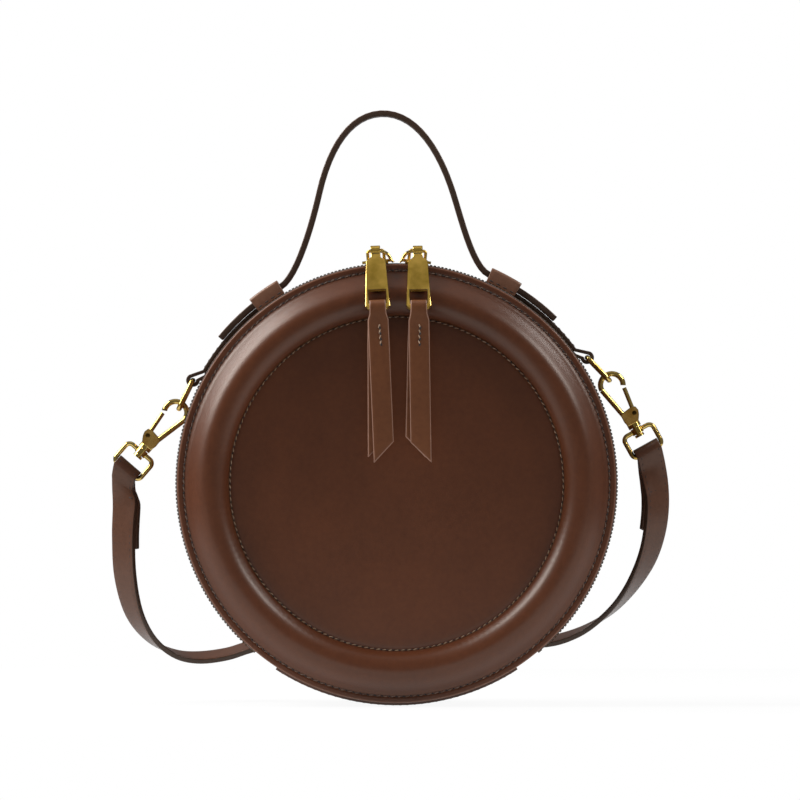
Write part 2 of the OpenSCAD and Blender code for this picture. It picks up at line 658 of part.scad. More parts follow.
module strap_loop(side) color(LEATHER) facing() hook_place(side)
    translate([0, -strap_bar_y - dring_len, 0]) rotate([0, 90, 0]) difference() {
        cylinder(h = strap_tube_w, r = strap_tube_out, center = true);
        cylinder(h = strap_tube_w + 2 * over, r = strap_tube_in, center = true);
    }
module strap_loop_left() strap_loop(-1);
module strap_loop_right() strap_loop(1);

// A strip swept along the strap's middle line through the numbered points
module strip(points, offset)
    let (corners = [for (i = points) each strap_corners(i, offset)], last = 4 * (len(points) - 1))
    polyhedron(corners, concat(
        [for (k = [0 : len(points) - 2], j = [0 : 3]) each
            let (a = 4 * k + j, b = 4 * k + (j + 1) % 4)
            j == 2 ? [[a, b, a + 4], [b, b + 4, a + 4]] : [[a, b, b + 4], [a, b + 4, a + 4]]],
        [[0, 2, 1], [0, 3, 2], [last, last + 1, last + 2], [last, last + 2, last + 3]]));
module shoulder_strap() color(LEATHER) facing() strip([for (i = [0 : len(strap_mid) - 1]) i], 0);
module strap_lining_left() color(LEATHER) facing() strip(lining_left, lining_offset);
module strap_lining_right() color(LEATHER) facing() strip(lining_right, lining_offset);

back_panel();
back_board();
back_lining();
rear_gusset();
gusset_lining();
hinge_fold();
bottom_patch();
zip_tape_rear();
zip_teeth_rear();
zip_stops();
handle();
keeper_left();
keeper_right();
ring_tab_left();
ring_tab_right();
ring_left();
ring_right();
front_ring_cover();
ring_padding();
front_centre_disc();
front_board();
front_lining();
zip_tape_front();
zip_teeth_front();
slider_left();
slider_right();
pull_plate_left();
pull_plate_right();
leather_pull_left();
leather_pull_right();
hook_left();
hook_right();
gate_left();
gate_right();
gate_rivet_left();
gate_rivet_right();
strap_ring_left();
strap_ring_right();
strap_loop_left();
strap_loop_right();
strap_lining_left();
strap_lining_right();
shoulder_strap();
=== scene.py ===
from math import asin, atan2, copysign, cos, degrees, exp, hypot, pi, radians, sin
import bpy
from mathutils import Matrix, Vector


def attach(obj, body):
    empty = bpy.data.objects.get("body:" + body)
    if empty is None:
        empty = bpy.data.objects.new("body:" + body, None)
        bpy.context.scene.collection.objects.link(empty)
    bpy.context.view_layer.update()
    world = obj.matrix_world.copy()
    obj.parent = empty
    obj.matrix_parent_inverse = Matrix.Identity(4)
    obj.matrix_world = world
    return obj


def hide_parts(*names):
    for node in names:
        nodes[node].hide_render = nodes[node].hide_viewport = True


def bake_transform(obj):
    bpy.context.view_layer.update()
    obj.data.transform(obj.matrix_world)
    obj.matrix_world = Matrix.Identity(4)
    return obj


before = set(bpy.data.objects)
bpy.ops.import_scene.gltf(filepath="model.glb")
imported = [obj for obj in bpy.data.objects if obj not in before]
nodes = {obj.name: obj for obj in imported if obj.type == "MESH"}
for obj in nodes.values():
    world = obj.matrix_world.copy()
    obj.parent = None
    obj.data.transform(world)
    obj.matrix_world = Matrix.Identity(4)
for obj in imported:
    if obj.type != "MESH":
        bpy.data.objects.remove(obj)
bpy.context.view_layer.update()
mm = 0.001

# small helpers: x to the right, z up, depth forwards from the back face, all in mm


def place(x, z, depth):
    return Vector((x * mm, -depth * mm, z * mm))


def onRim(deg, r, depth):
    a = radians(deg)
    return place(r * sin(a), r * cos(a), depth)


def setMode(mode):
    bpy.ops.object.mode_set(mode=mode)


def deselect():
    if bpy.context.object and bpy.context.object.mode != "OBJECT":
        setMode("OBJECT")
    bpy.ops.object.select_all(action="DESELECT")


def pick(piece):
    deselect()
    piece.hide_set(False)
    piece.select_set(True)
    bpy.context.view_layer.objects.active = piece


def apply(piece, kind, **settings):
    pick(piece)
    modifier = piece.modifiers.new(kind.title(), kind)
    for key, value in settings.items():
        setattr(modifier, key, value)
    bpy.ops.object.modifier_apply(modifier=modifier.name)


def faceOut(piece):
    pick(piece)
    setMode("EDIT")
    bpy.ops.mesh.select_all(action="SELECT")
    bpy.ops.mesh.normals_make_consistent(inside=False)
    setMode("OBJECT")


def soften(piece, width, segments=2, deg=50, material=-1):  # a bevel of all edges sharper than deg, in mm
    apply(piece, "BEVEL", width=width * mm, segments=segments, limit_method="ANGLE",
          angle_limit=radians(deg), material=material)


def smooth(piece, deg=40):
    pick(piece)
    bpy.ops.object.shade_smooth_by_angle(angle=radians(deg))


def needSlots(piece, count=2):  # a modifier's second material needs its slot to be there already
    while len(piece.data.materials) < count:
        piece.data.materials.append(None)


def finishPiece(piece, name, body, materials, replaced=(), deg=40):
    piece.name = name
    needSlots(piece, len(materials))
    while len(piece.data.materials) > len(materials):
        piece.data.materials.pop()
    for index, material in enumerate(materials):
        piece.data.materials[index] = material
    smooth(piece, deg)
    if body:
        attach(piece, body)
    if replaced:
        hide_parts(*replaced)
    return piece


# a closed outline of (radius, depth) points, turned about the bag's middle line
def turned(outline, steps=240, middle=0, half=180):
    deselect()
    bpy.ops.mesh.primitive_circle_add(vertices=len(outline), radius=0.01)
    piece = bpy.context.object
    start = middle - half if half < 180 else 0
    for vertex, (r, depth) in zip(piece.data.vertices, outline):
        vertex.co = onRim(start, r, depth)
    setMode("EDIT")
    bpy.ops.mesh.select_all(action="SELECT")
    sweep = 360 if half >= 180 else 2 * half
    bpy.ops.mesh.spin(steps=steps, angle=radians(sweep), center=(0, 0, 0), axis=(0, -1, 0))
    bpy.ops.mesh.select_all(action="SELECT")
    bpy.ops.mesh.remove_doubles(threshold=2e-6)
    if half < 180:
        bpy.ops.mesh.select_all(action="DESELECT")
        bpy.ops.mesh.select_non_manifold()
        bpy.ops.mesh.fill_holes(sides=0)
    faceOut(piece)
    return piece


# a flat strip swept along points, across being its width at each one
def strip(points, across, width, thickness, columns=4, edge=0.35):
    deselect()
    bpy.ops.mesh.primitive_grid_add(x_subdivisions=len(points) - 1, y_subdivisions=columns, size=0.1)
    piece = bpy.context.object
    count = len(points)
    for index, vertex in enumerate(piece.data.vertices):
        i, j = index % count, index // count
        vertex.co = points[i] + across[i] * (j / columns - 0.5) * width * mm
    needSlots(piece)
    apply(piece, "SOLIDIFY", thickness=thickness * mm, offset=0, material_offset_rim=1, use_even_offset=False)
    soften(piece, edge, segments=3)
    faceOut(piece)
    return piece


# one stitch, copied to each (point, direction, normal); its ends dip into the leather
def stitches(name, spots, body, material, length=2.3, thick=0.62, sink=0.08):
    deselect()
    bpy.ops.mesh.primitive_uv_sphere_add(segments=8, ring_count=6, radius=0.5)
    piece = bpy.context.object
    flat, rise = 0.8, 0.12
    corners = [v.co for v in piece.data.vertices]
    shape = [Vector((v.x * thick, v.y * thick * flat, v.z * length)) * mm for v in corners]
    faces = [tuple(p.vertices) for p in piece.data.polygons]
    allPoints, allFaces = [], []
    for point, along, normal in spots:
        along = along.normalized()
        normal = (normal - along * normal.dot(along)).normalized()
        side = normal.cross(along)
        base = len(allPoints)
        for v in shape:
            lift = v.y - sink * mm + rise * mm * cos(pi * v.z / (length * mm))
            allPoints.append(point + side * v.x + normal * lift + along * v.z)
        allFaces += [tuple(base + k for k in face) for face in faces]
    piece.data.clear_geometry()
    piece.data.from_pydata(allPoints, [], allFaces)
    piece.data.update()
    return finishPiece(piece, name, body, [material], deg=80)


# materials


def newMaterial(name):
    material = bpy.data.materials.new(name)
    material.use_nodes = True
    tree = material.node_tree
    return material, tree, next(n for n in tree.nodes if n.type == "BSDF_PRINCIPLED")


def setInputs(tree, node, inputs):  # another node's output is linked, any other value is written in
    for key, value in inputs.items():
        if hasattr(value, "links") and hasattr(value, "node"):
            tree.links.new(value, node.inputs[key])
        else:
            node.inputs[key].default_value = value


def addNode(tree, kind, inputs, **settings):
    node = tree.nodes.new(kind)
    for key, value in settings.items():
        setattr(node, key, value)
    setInputs(tree, node, inputs)
    return node


def combine(tree, how, *values):
    return addNode(tree, "ShaderNodeMath", dict(enumerate(values)), operation=how).outputs[0]


def stretched(tree, scale=(1, 1, 1)):
    source = addNode(tree, "ShaderNodeTexCoord", {}).outputs["Object"]
    return addNode(tree, "ShaderNodeMapping", {"Vector": source, "Scale": scale}).outputs["Vector"]


def noise(tree, where, scale, detail, **more):
    inputs = {"Vector": where, "Scale": scale, "Detail": detail, **more}
    return addNode(tree, "ShaderNodeTexNoise", inputs).outputs["Fac"]


def relief(tree, height, strength, distance, **under):
    inputs = {"Height": height, "Strength": strength, "Distance": distance, **under}
    return addNode(tree, "ShaderNodeBump", inputs).outputs[0]


def spread(tree, source, low, high):
    inputs = {"Value": source, "To Min": low, "To Max": high}
    return addNode(tree, "ShaderNodeMapRange", inputs).outputs["Result"]


def hexColor(code):
    parts = [int(code[i:i + 2], 16) / 255 for i in (1, 3, 5)]
    return tuple(c / 12.92 if c <= 0.04045 else ((c + 0.055) / 1.055) ** 2.4 for c in parts) + (1,)


def ramp(tree, source, low, dark, high, light):
    node = addNode(tree, "ShaderNodeValToRGB", {"Fac": source})
    for element, place, code in zip(node.color_ramp.elements, (low, high), (dark, light)):
        element.position, element.color = place, hexColor(code)
    return node.outputs["Color"]


# smooth dyed leather: cloudy colour, fine pores, soft creases, an uneven waxy shine
def leather(name, dark, light, shine=(0.3, 0.42), grain=0.000035, edge=None):
    material, tree, shader = newMaterial(name)
    where = stretched(tree)
    mottle = noise(tree, where, 420, 5, Roughness=0.65)
    cloudy = combine(tree, "ADD", noise(tree, where, 22, 4, Roughness=0.6), mottle)
    color = ramp(tree, combine(tree, "MULTIPLY", cloudy, 0.5), 0.2, dark, 0.8, light)
    if edge:  # the raw cut edge of a round panel shows paler
        split = addNode(tree, "ShaderNodeSeparateXYZ", {"Vector": where})
        flat = addNode(tree, "ShaderNodeCombineXYZ", {"X": split.outputs["X"], "Z": split.outputs["Z"]})
        far = addNode(tree, "ShaderNodeVectorMath", {0: flat.outputs[0]}, operation="LENGTH").outputs["Value"]
        near = addNode(tree, "ShaderNodeMapRange", {"Value": far, "From Min": edge[0], "From Max": edge[1]})
        blend = {"Factor": near.outputs["Result"], 6: color, 7: hexColor(edge[2])}
        color = addNode(tree, "ShaderNodeMix", blend, data_type="RGBA").outputs[2]
    cells = addNode(tree, "ShaderNodeTexVoronoi", {"Vector": where, "Scale": 800}, feature="DISTANCE_TO_EDGE")
    pores = addNode(tree, "ShaderNodeTexVoronoi", {"Vector": where, "Scale": 1500})
    creases = relief(tree, noise(tree, where, 90, 3, Distortion=0.8), 0.16, 0.0004)
    cells = relief(tree, cells.outputs["Distance"], 0.5, grain * 2, Normal=creases)
    pores = relief(tree, pores.outputs["Distance"], 0.6, grain, Normal=cells)
    setInputs(tree, shader, {"Base Color": color, "Roughness": spread(tree, mottle, *shine), "Normal": pores,
                             "Specular IOR Level": 0.4, "Specular Tint": (1, 0.9, 0.8, 1), "Coat Weight": 0.18,
                             "Coat Roughness": 0.34})
    return material


# waxed thread, twisted
def thread(name, dark, light):
    material, tree, shader = newMaterial(name)
    where = stretched(tree)
    wave = {"Vector": where, "Scale": 900, "Distortion": 2, "Detail": 2}
    twist = addNode(tree, "ShaderNodeTexWave", wave).outputs["Fac"]
    blotched = combine(tree, "MULTIPLY", twist, noise(tree, where, 600, 2))
    setInputs(tree, shader, {"Base Color": ramp(tree, blotched, 0.1, dark, 0.55, light), "Roughness": 0.62,
                             "Sheen Weight": 0.15, "Normal": relief(tree, twist, 0.6, 0.00008)})
    return material


# plated metal: brushed streaks or a polish with fine wear
def metal(name, dark, light, shine, stretch, depth):
    material, tree, shader = newMaterial(name)
    streak = noise(tree, stretched(tree, stretch), 1, 6, Roughness=0.7)
    tarnish = noise(tree, stretched(tree), 160, 4)
    setInputs(tree, shader, {"Base Color": ramp(tree, tarnish, 0.3, dark, 0.65, light), "Metallic": 1,
                             "Roughness": spread(tree, streak, *shine),
                             "Normal": relief(tree, streak, 0.4, depth)})
    return material


# woven cloth or tape: two crossed rows of yarn
def cloth(name, dark, light, pitch, rough=0.85):
    material, tree, shader = newMaterial(name)
    where = stretched(tree)
    rows = []
    for source in (where, stretched(tree, (-1, 1, 1))):
        yarn = {"Vector": source, "Scale": 1 / pitch, "Distortion": 0.6, "Detail": 2}
        rows.append(addNode(tree, "ShaderNodeTexWave", yarn, bands_direction="DIAGONAL").outputs["Fac"])
    weave = combine(tree, "MAXIMUM", *rows)
    fuzzy = combine(tree, "MULTIPLY", weave, noise(tree, where, 700, 4))
    setInputs(tree, shader, {"Base Color": ramp(tree, fuzzy, 0.05, dark, 0.6, light), "Roughness": rough,
                             "Sheen Weight": 0.25, "Normal": relief(tree, weave, 0.5, 0.00015)})
    return material


frontLeather = leather("frontLeather", "#472311", "#60331b", edge=(0.0991, 0.0998, "#7c5340"))
bodyLeather = leather("bodyLeather", "#432416", "#5a3422")
handleLeather = leather("handleLeather", "#432517", "#5e3824")
strapLeather = leather("strapLeather", "#432719", "#5e3a28")
pullLeather = leather("pullLeather", "#532e1a", "#754629")
# the keepers take a lighter copy of the handle leather: a painted highlight
keeperLeatherPaintedHighlight = leather("keeperLeatherPaintedHighlight", "#694634", "#8c6550")
rawEdge = leather("rawEdge", "#785342", "#9c7765", shine=(0.5, 0.65))
edgePaint = leather("edgePaint", "#33241b", "#473428", shine=(0.3, 0.5), grain=0.00002)
# dark thread for the seams; the same dark colour also paints the shade inside stitch holes
darkThreadAndHoleShade = thread("darkThreadAndHoleShade", "#140a06", "#3a241a")
seamThread = thread("seamThread", "#3b251a", "#9c8270")
tanThread = thread("tanThread", "#80604a", "#dcbf9f")
satinGold = metal("satinGold", "#c09c40", "#ecc25e", (0.26, 0.4), (3000, 3000, 60), 0.000006)
polishedGold = metal("polishedGold", "#a9863c", "#d9bd72", (0.07, 0.15), (500, 500, 500), 0.000001)
zipBrass = metal("zipBrass", "#3a2b17", "#66502e", (0.28, 0.45), (900, 900, 900), 0.00001)
cheekGold = metal("cheekGold", "#c79240", "#ecbe6c", (0.22, 0.34), (900, 900, 900), 0.000004)
rivetGold = metal("rivetGold", "#3c2c12", "#5f4820", (0.2, 0.34), (1200, 1200, 1200), 0.000006)
tapeCloth = cloth("tapeCloth", "#24150e", "#4a2e20", 0.0011)
liningCloth = cloth("liningCloth", "#5f4a36", "#9a8264", 0.0009)
boardPaper = cloth("boardPaper", "#a08e70", "#c6b594", 0.003, rough=0.95)
print("materials ready")

# stage, lamps and camera

# metres and watts; scale is the photo's pixels to the millimetre, centrePx where it shows the bag's middle
studio = {"floorZ": -0.1017, "floorSize": 0.9, "floorMiddle": 0.05, "floorShade": 0.07, "floorTint": 0.86,
          "scale": 2.195, "distance": 4.0, "centrePx": (396.6, 483.6), "picturePx": 800, "frontDepth": 72,
          "sensor": 36, "farClip": 30, "roomLight": 0.1, "roomShine": 0.1, "aim": (0, -0.05, 0)}
# each lamp's place, size and power
lamps = {"boxTop": ((0.0, -0.1, 1.35), (1.3, 0.8), 1.6),
         "boxLeft": ((-1.0, -0.28, 0.8), (0.45, 0.85), 17),
         "boxRight": ((0.95, -0.45, 0.75), (0.25, 0.5), 6.5),
         "rimLeft": ((-0.85, 0.3, 0.75), (0.35, 0.7), 7.4),
         "rimRight": ((0.85, 0.25, 0.8), (0.2, 0.4), 3)}


def floorWhite():  # glows white to the camera, and keeps a share of its shade
    material, tree, shader = newMaterial("floorWhite")
    tint = (*[studio["floorTint"]] * 3, 1)
    setInputs(tree, shader, {"Base Color": tint, "Roughness": 0.9, "Specular IOR Level": 0})
    glow = addNode(tree, "ShaderNodeEmission", {"Color": (1, 1, 1, 1), "Strength": 1})
    rays = addNode(tree, "ShaderNodeLightPath", {}).outputs
    seen = combine(tree, "MAXIMUM", rays["Is Camera Ray"], rays["Is Glossy Ray"])
    seen = combine(tree, "MAXIMUM", seen, rays["Is Transmission Ray"])
    share = combine(tree, "MULTIPLY", seen, 1 - studio["floorShade"])
    mix = addNode(tree, "ShaderNodeMixShader", {0: share, 1: shader.outputs[0], 2: glow.outputs[0]})
    out = next(n for n in tree.nodes if n.type == "OUTPUT_MATERIAL")
    setInputs(tree, out, {"Surface": mix.outputs[0]})
    return material


deselect()
floorSpot = (0, studio["floorMiddle"], studio["floorZ"])
bpy.ops.mesh.primitive_plane_add(size=studio["floorSize"], location=floorSpot)
floor = bpy.context.object
floor.name = "floor"
floor.data.materials.append(floorWhite())

world = bpy.data.worlds.new("softRoom")
bpy.context.scene.world = world
world.use_nodes = True
room = world.node_tree
rays = addNode(room, "ShaderNodeLightPath", {}).outputs
shiny = combine(room, "MAXIMUM", rays["Is Glossy Ray"], rays["Is Transmission Ray"])
soft = combine(room, "MULTIPLY_ADD", shiny, studio["roomShine"], studio["roomLight"])
seen = combine(room, "MAXIMUM", rays["Is Camera Ray"], soft)
setInputs(room, room.nodes["Background"], {"Strength": seen, "Color": (1, 1, 1, 1)})


def softBox(name, spot, size, power):
    lamp = bpy.data.lights.new(name, "AREA")
    lamp.shape, lamp.size, lamp.size_y, lamp.energy = "RECTANGLE", size[0], size[1], power
    holder = bpy.data.objects.new(name, lamp)
    bpy.context.collection.objects.link(holder)
    holder.location = spot
    holder.rotation_euler = (Vector(studio["aim"]) - Vector(spot)).to_track_quat("-Z", "Y").to_euler()


for name, (spot, size, power) in lamps.items():
    softBox(name, spot, size, power)

camera = bpy.data.cameras.new("camera")
holder = bpy.data.objects.new("camera", camera)
bpy.context.collection.objects.link(holder)
camera.sensor_width = studio["sensor"]
camera.lens = studio["scale"] * studio["distance"] / mm * studio["sensor"] / studio["picturePx"]
camera.clip_end = studio["farClip"]
holder.location = ((studio["picturePx"] / 2 - studio["centrePx"][0]) / studio["scale"] * mm,
                   -studio["frontDepth"] * mm - studio["distance"],
                   (studio["centrePx"][1] - studio["picturePx"] / 2) / studio["scale"] * mm)
holder.rotation_euler = (radians(90), 0, 0)
bpy.context.scene.camera = holder
bpy.context.scene.view_settings.view_transform = "Standard"
print("stage ready")

# front panel: padded ring, flat rim and centre disc

front = {"rimRadius": 100, "rimDepth": 72, "rimWidth": 6, "ringWidth": 17.6, "ringHeight": 8, "thick": 1.6,
         "outerFall": 11, "innerStart": 176, "crest": 92, "edgeRound": 0.35, "outerStitchRadius": 97,
         "outerStitches": 185, "innerStitches": 170, "innerStitchInset": 0.45, "groove": 0.3, "grooveHalf": 0.9,
         "puckers": 0.16, "puckerReach": 1.8, "slack": 0.22}
innerRadius = front["rimRadius"] - front["rimWidth"] - front["ringWidth"]
frontBack = front["rimDepth"] - front["thick"]


def bump(x, middle, half):  # a smooth dip or swell, 1 in the middle and 0 past half
    t = abs(x - middle) / half
    return (1 - t * t) ** 2 if t < 1 else 0.0


def arc(cx, cy, r, fromDeg, toDeg, count):
    steps = [radians(fromDeg + (toDeg - fromDeg) * i / count) for i in range(count + 1)]
    return [(cx + r * cos(a), cy + r * sin(a)) for a in steps]


def ringOutline():  # a round swell inside, a softer fall outside, then the flat stitched rim
    half, high, fall, face = front["ringWidth"] / 2, front["ringHeight"], front["outerFall"], front["rimDepth"]
    middle = innerRadius + half
    r = (half * half + high * high) / (2 * high)
    hump = [p for p in arc(middle, face + high - r, r, front["innerStart"], front["crest"], 16)
            if p[1] > face - front["edgeRound"]]
    hump += [(middle + fall * i / 18, face + high * (1 - (i / 18) ** 2.2) ** 1.5) for i in range(18)]
    rim = []
    for i in range(17):
        x = middle + fall + 0.2 * i
        rim.append((x, face - front["groove"] * bump(x, front["outerStitchRadius"], front["grooveHalf"])))
    edge = arc(front["rimRadius"] - 0.38, face - front["edgeRound"], front["edgeRound"], 80, 0, 3)
    edge += [(front["rimRadius"] - 0.02, frontBack + 0.5)]
    edge += arc(front["rimRadius"] - 0.3, frontBack + 0.3, 0.28, 0, -90, 2)
    foot = [(innerRadius - 0.2, frontBack + 0.05), (innerRadius - 0.15, face - 0.5)]
    return foot + hump + rim + edge


ring = turned(ringOutline(), steps=960)
# share, turns and start of each slow wave
waves = ((0.5, 3, 0.7), (0.3, 7, 2.1), (0.25, 13, 4.4), (0.15, 29, 0))
for vertex in ring.data.vertices:
    r = hypot(vertex.co.x, vertex.co.z) / mm
    a = atan2(vertex.co.x, vertex.co.z)
    depth = -vertex.co.y / mm
    if depth < frontBack + 0.7:
        continue
    puff = bump(r, innerRadius + front["ringWidth"] / 2, front["ringWidth"] / 2 + 0.3)
    slack = sum(share * sin(turns * a + start) for share, turns, start in waves)
    pucker = 0.5 + 0.5 * cos(front["innerStitches"] * a)
    past = r - innerRadius
    near = exp(-max(0, past) / front["puckerReach"]) * min(1, max(0, (past + 0.3) / 0.6))
    outer = 0.5 + 0.5 * cos(front["outerStitches"] * a)
    depth += front["slack"] * slack * puff + front["puckers"] * pucker * near
    depth -= 0.1 * outer * bump(r, front["outerStitchRadius"], 1.6)
    vertex.co.y = -depth * mm
finishPiece(ring, "frontRing", "lid", [frontLeather], ["front_ring_cover", "ring_padding"],
            deg=50)

disc = {"radius": 76.1, "face": 72.1, "sag": 0.07, "pucker": 0.06, "puckerFrom": 73}
faceLine = [(r, disc["face"] - 0.0001 * r) for r in (12, 24, 36, 46, 54, 60, 65, 69, 72, 73.5)]
roundEdge = [(disc["radius"] - inset, disc["face"] - drop)
             for inset, drop in ((1.7, 0.05), (1, 0.15), (0.5, 0.3), (0.15, 0.5), (0, 0.8))]
discOutline = [(0, frontBack), (0, disc["face"])] + faceLine + roundEdge + [(disc["radius"], frontBack)]
centre = turned(discOutline, steps=340)
for vertex in centre.data.vertices:
    if -vertex.co.y / mm > frontBack + 0.5:
        x, z = vertex.co.x / mm, vertex.co.z / mm
        r, a = hypot(x, z), atan2(x, z)
        wave = sin(x / 17 + 1.2) * sin(z / 21 + 0.4) + 0.5 * sin(x / 9 + z / 13)
        fade = max(0.0, 1 - (r / 76) ** 4)
        pucker = (0.5 + 0.5 * cos(front["innerStitches"] * a)) * (r > disc["puckerFrom"])
        vertex.co.y -= (disc["sag"] * wave * fade - disc["pucker"] * pucker) * mm
finishPiece(centre, "centreDisc", "lid", [frontLeather], ["front_centre_disc"], deg=50)


def circleSpots(radius, depth, count, outward=-1, phase=0.0, slant=0.0):
    spots = []
    for i in range(count):
        a = 360 * (i + phase) / count
        along = onRim(a + 90, 1, 0) + onRim(a, slant, 0)
        spots.append((onRim(a, radius, depth), along, Vector((0, outward, 0))))
    return spots


# each circle: radius, count, depth of thread and of holes, thread, and the length and thickness of both; the
# holes are dark patches of painted shade
seams = {"outer": (front["outerStitchRadius"], front["outerStitches"], 0.24, 0.22, seamThread,
                   (2.1, 0.62), (1.2, 0.8)),
         "inner": (innerRadius - front["innerStitchInset"], front["innerStitches"], 0.14, 0.18, tanThread,
                   (1.9, 0.46), (0.85, 0.55))}
for seam, (radius, count, sink, holeSink, yarn, size, holeSize) in seams.items():
    spots = circleSpots(radius, front["rimDepth"] - sink, count, slant=0.3)
    stitches(seam + "Seam", spots, "lid", yarn, length=size[0], thick=size[1])
    # dark patches between the stitches: painted shade inside the stitch holes
    holes = circleSpots(radius, front["rimDepth"] - holeSink, count, phase=0.5, slant=-0.5)
    stitches(seam + "Holes", holes, "lid", darkThreadAndHoleShade, length=holeSize[0], thick=holeSize[1])
print("front ready")

# back panel, gusset, hinge leather and bottom patch

shell = {"backThick": 1.6, "edgeRound": 0.4, "seamRadius": 97, "grooveHalf": 0.9, "pitch": 3.3, "sink": 0.12,
         "gussetRadius": 99.7, "gussetThick": 1.6, "gussetDepth": 61.3, "gussetSeams": (4.8, 58),
         "groove": 0.22, "backGroove": 0.28}


def grooved(middle, before=0.9):  # seven places across a stitch groove, each with the groove's depth there
    places = [middle - before + 0.3 * i for i in range(7)]
    return [(d, shell["groove"] * bump(d, middle, shell["grooveHalf"])) for d in places]


backOutline = [(0, 0), (0, shell["backThick"]), (99.5, shell["backThick"])]
backOutline += arc(99.6, 1.2, shell["edgeRound"], 90, 0, 3) + arc(99.6, 0.4, shell["edgeRound"], 0, -90, 3)
backGroove = [97.9 - 0.3 * i for i in range(7)]
backOutline += [(98.6, 0)] + [(r, shell["backGroove"] * bump(r, shell["seamRadius"], 0.9)) for r in backGroove]
backOutline += [(r, 0) for r in (95, 90, 80, 65, 45, 25)]
backPiece = turned(backOutline, steps=300)
finishPiece(backPiece, "backPanel", "root", [frontLeather], ["back_panel"], deg=50)
spots = circleSpots(shell["seamRadius"], 0.22, front["outerStitches"], outward=1)
stitches("backSeam", spots, "root", darkThreadAndHoleShade, length=2.35, thick=0.6)

g, gussetEnd, (rearSeam, frontSeam) = shell["gussetRadius"], shell["gussetDepth"], shell["gussetSeams"]
inside = g - shell["gussetThick"]
gussetOutline = [(inside, 1.65), (g - 0.4, 1.65)] + arc(g - 0.4, 2.1, shell["edgeRound"], -80, 0, 3)
gussetOutline += [(g, 3.4)] + [(g - dip, d) for d, dip in grooved(rearSeam)]
gussetOutline += [(g + 0.05 * sin(d / 9), d) for d in (8, 14, 20, 26, 32, 38, 44, 50, 55)]
gussetOutline += [(g - dip, d) for d, dip in grooved(frontSeam, 1)]
gussetOutline += [(g, 59.6)] + arc(g - 0.45, gussetEnd - 0.45, 0.45, 0, 90, 4) + [(inside, gussetEnd)]
gusset = turned(gussetOutline, steps=300)
finishPiece(gusset, "gusset", "root", [bodyLeather], ["rear_gusset"], deg=50)


def bandSpots(radius, depth, fromDeg, toDeg):
    count = int(radians(abs(toDeg - fromDeg)) * radius / shell["pitch"])
    spots = []
    for i in range(count):
        a = fromDeg + (toDeg - fromDeg) * (i + 0.5) / count
        spots.append((onRim(a, radius, depth), onRim(a + 90, 1, 0), onRim(a, 1, 0)))
    return spots


threadRadius = g - shell["sink"]
spots = bandSpots(threadRadius, frontSeam, 0, 360) + bandSpots(threadRadius, rearSeam, 0, 360)
stitches("gussetSeams", spots, "root", darkThreadAndHoleShade, length=2.3, thick=0.55)

# the hinge leather bends between gusset and lid, over an arc at the bottom
bend = {"from": 61.32, "to": 70.3, "half": 40, "pivotDrop": -0.099}
near, far = bend["from"], bend["to"]
hingeOutline = [(inside + 0.05, near), (g, near), (g + 0.1, 62.3), (g + 0.15, 64), (g + 0.15, 67), (g + 0.1, 69)]
hingeOutline += [(g - 0.1, far), (inside + 0.05, far), (inside, 67), (inside, 64)]
hinge = turned(hingeOutline, steps=80, middle=180, half=bend["half"])
hinge.name = "hingeLeather"
hinge.data.materials.append(bodyLeather)
smooth(hinge, 50)
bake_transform(hinge)
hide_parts("hinge_fold")

patch = {"thick": 1.6, "half": 33, "from": 12, "to": 58.3, "corner": 0.35, "seamInset": 2.1, "endSeamHalf": 32,
         "endStitches": 12}
low, high, near, far, corner = g + 0.2, g + 0.2 + patch["thick"], patch["from"], patch["to"], patch["corner"]
rearLine, frontLine = near + patch["seamInset"], far - patch["seamInset"] - 0.1
patchOutline = [(low, near), (high - corner, near), (high, near + corner)]
patchOutline += [(high - dip, d) for d, dip in grooved(rearLine)] + [(high, d) for d in (20, 30, 40, 50)]
patchOutline += [(high - dip, d) for d, dip in grooved(frontLine)]
patchOutline += [(high, far - corner), (high - corner, far), (low, far)]
cover = turned(patchOutline, steps=90, middle=180, half=patch["half"])
finishPiece(cover, "bottomPatch", "root", [bodyLeather], ["bottom_patch"], deg=50)
first, last = 180 - patch["endSeamHalf"], 180 + patch["endSeamHalf"]
spots = bandSpots(high - 0.1, rearLine, first, last) + bandSpots(high - 0.1, frontLine, first, last)
for side in (-1, 1):
    for i in range(patch["endStitches"]):
        depth = 16 + 38 * (i + 0.5) / patch["endStitches"]
        a = 180 + side * (patch["endSeamHalf"] - 0.2)
        spots.append((onRim(a, high, depth), Vector((0, -1, 0)), onRim(a, 1, 0)))
stitches("patchSeam", spots, "root", darkThreadAndHoleShade, length=2.3, thick=0.55)
print("shell ready")

# zip tapes and linings

tape = {"half": 140, "thick": 0.8, "bead": 0.84, "rearBead": 64.85, "frontBead": 69.52, "steps": 280}
under, beadRadius = inside - 0.2 - tape["thick"], g - 0.05


def tapeRing(outline):
    return turned(outline, steps=tape["steps"], middle=0, half=tape["half"])


rearTape = tapeRing([(under, 54.3), (under + 0.8, 54.3), (under + 0.8, 61.5), (g - 0.8, 61.5), (g - 0.75, 61.35),
                     (beadRadius, 61.4), (g, 62), (g, 64)]
                    + arc(beadRadius, tape["rearBead"], tape["bead"], -55, 205, 9)
                    + [(g - 0.8, 64), (g - 0.8, 62.2), (under + 0.2, 62.1), (under, 61.8)])
finishPiece(rearTape, "rearTape", "root", [tapeCloth], ["zip_tape_rear"], deg=50)
frontTape = tapeRing([(92.3, 69.55), (g - 1, 69.55)]
                     + arc(beadRadius, tape["frontBead"], tape["bead"], 200, 445, 9)
                     + [(g - 0.3, 70.36), (92.3, 70.36)])
finishPiece(frontTape, "frontTape", "lid", [tapeCloth], ["zip_tape_front"], deg=50)

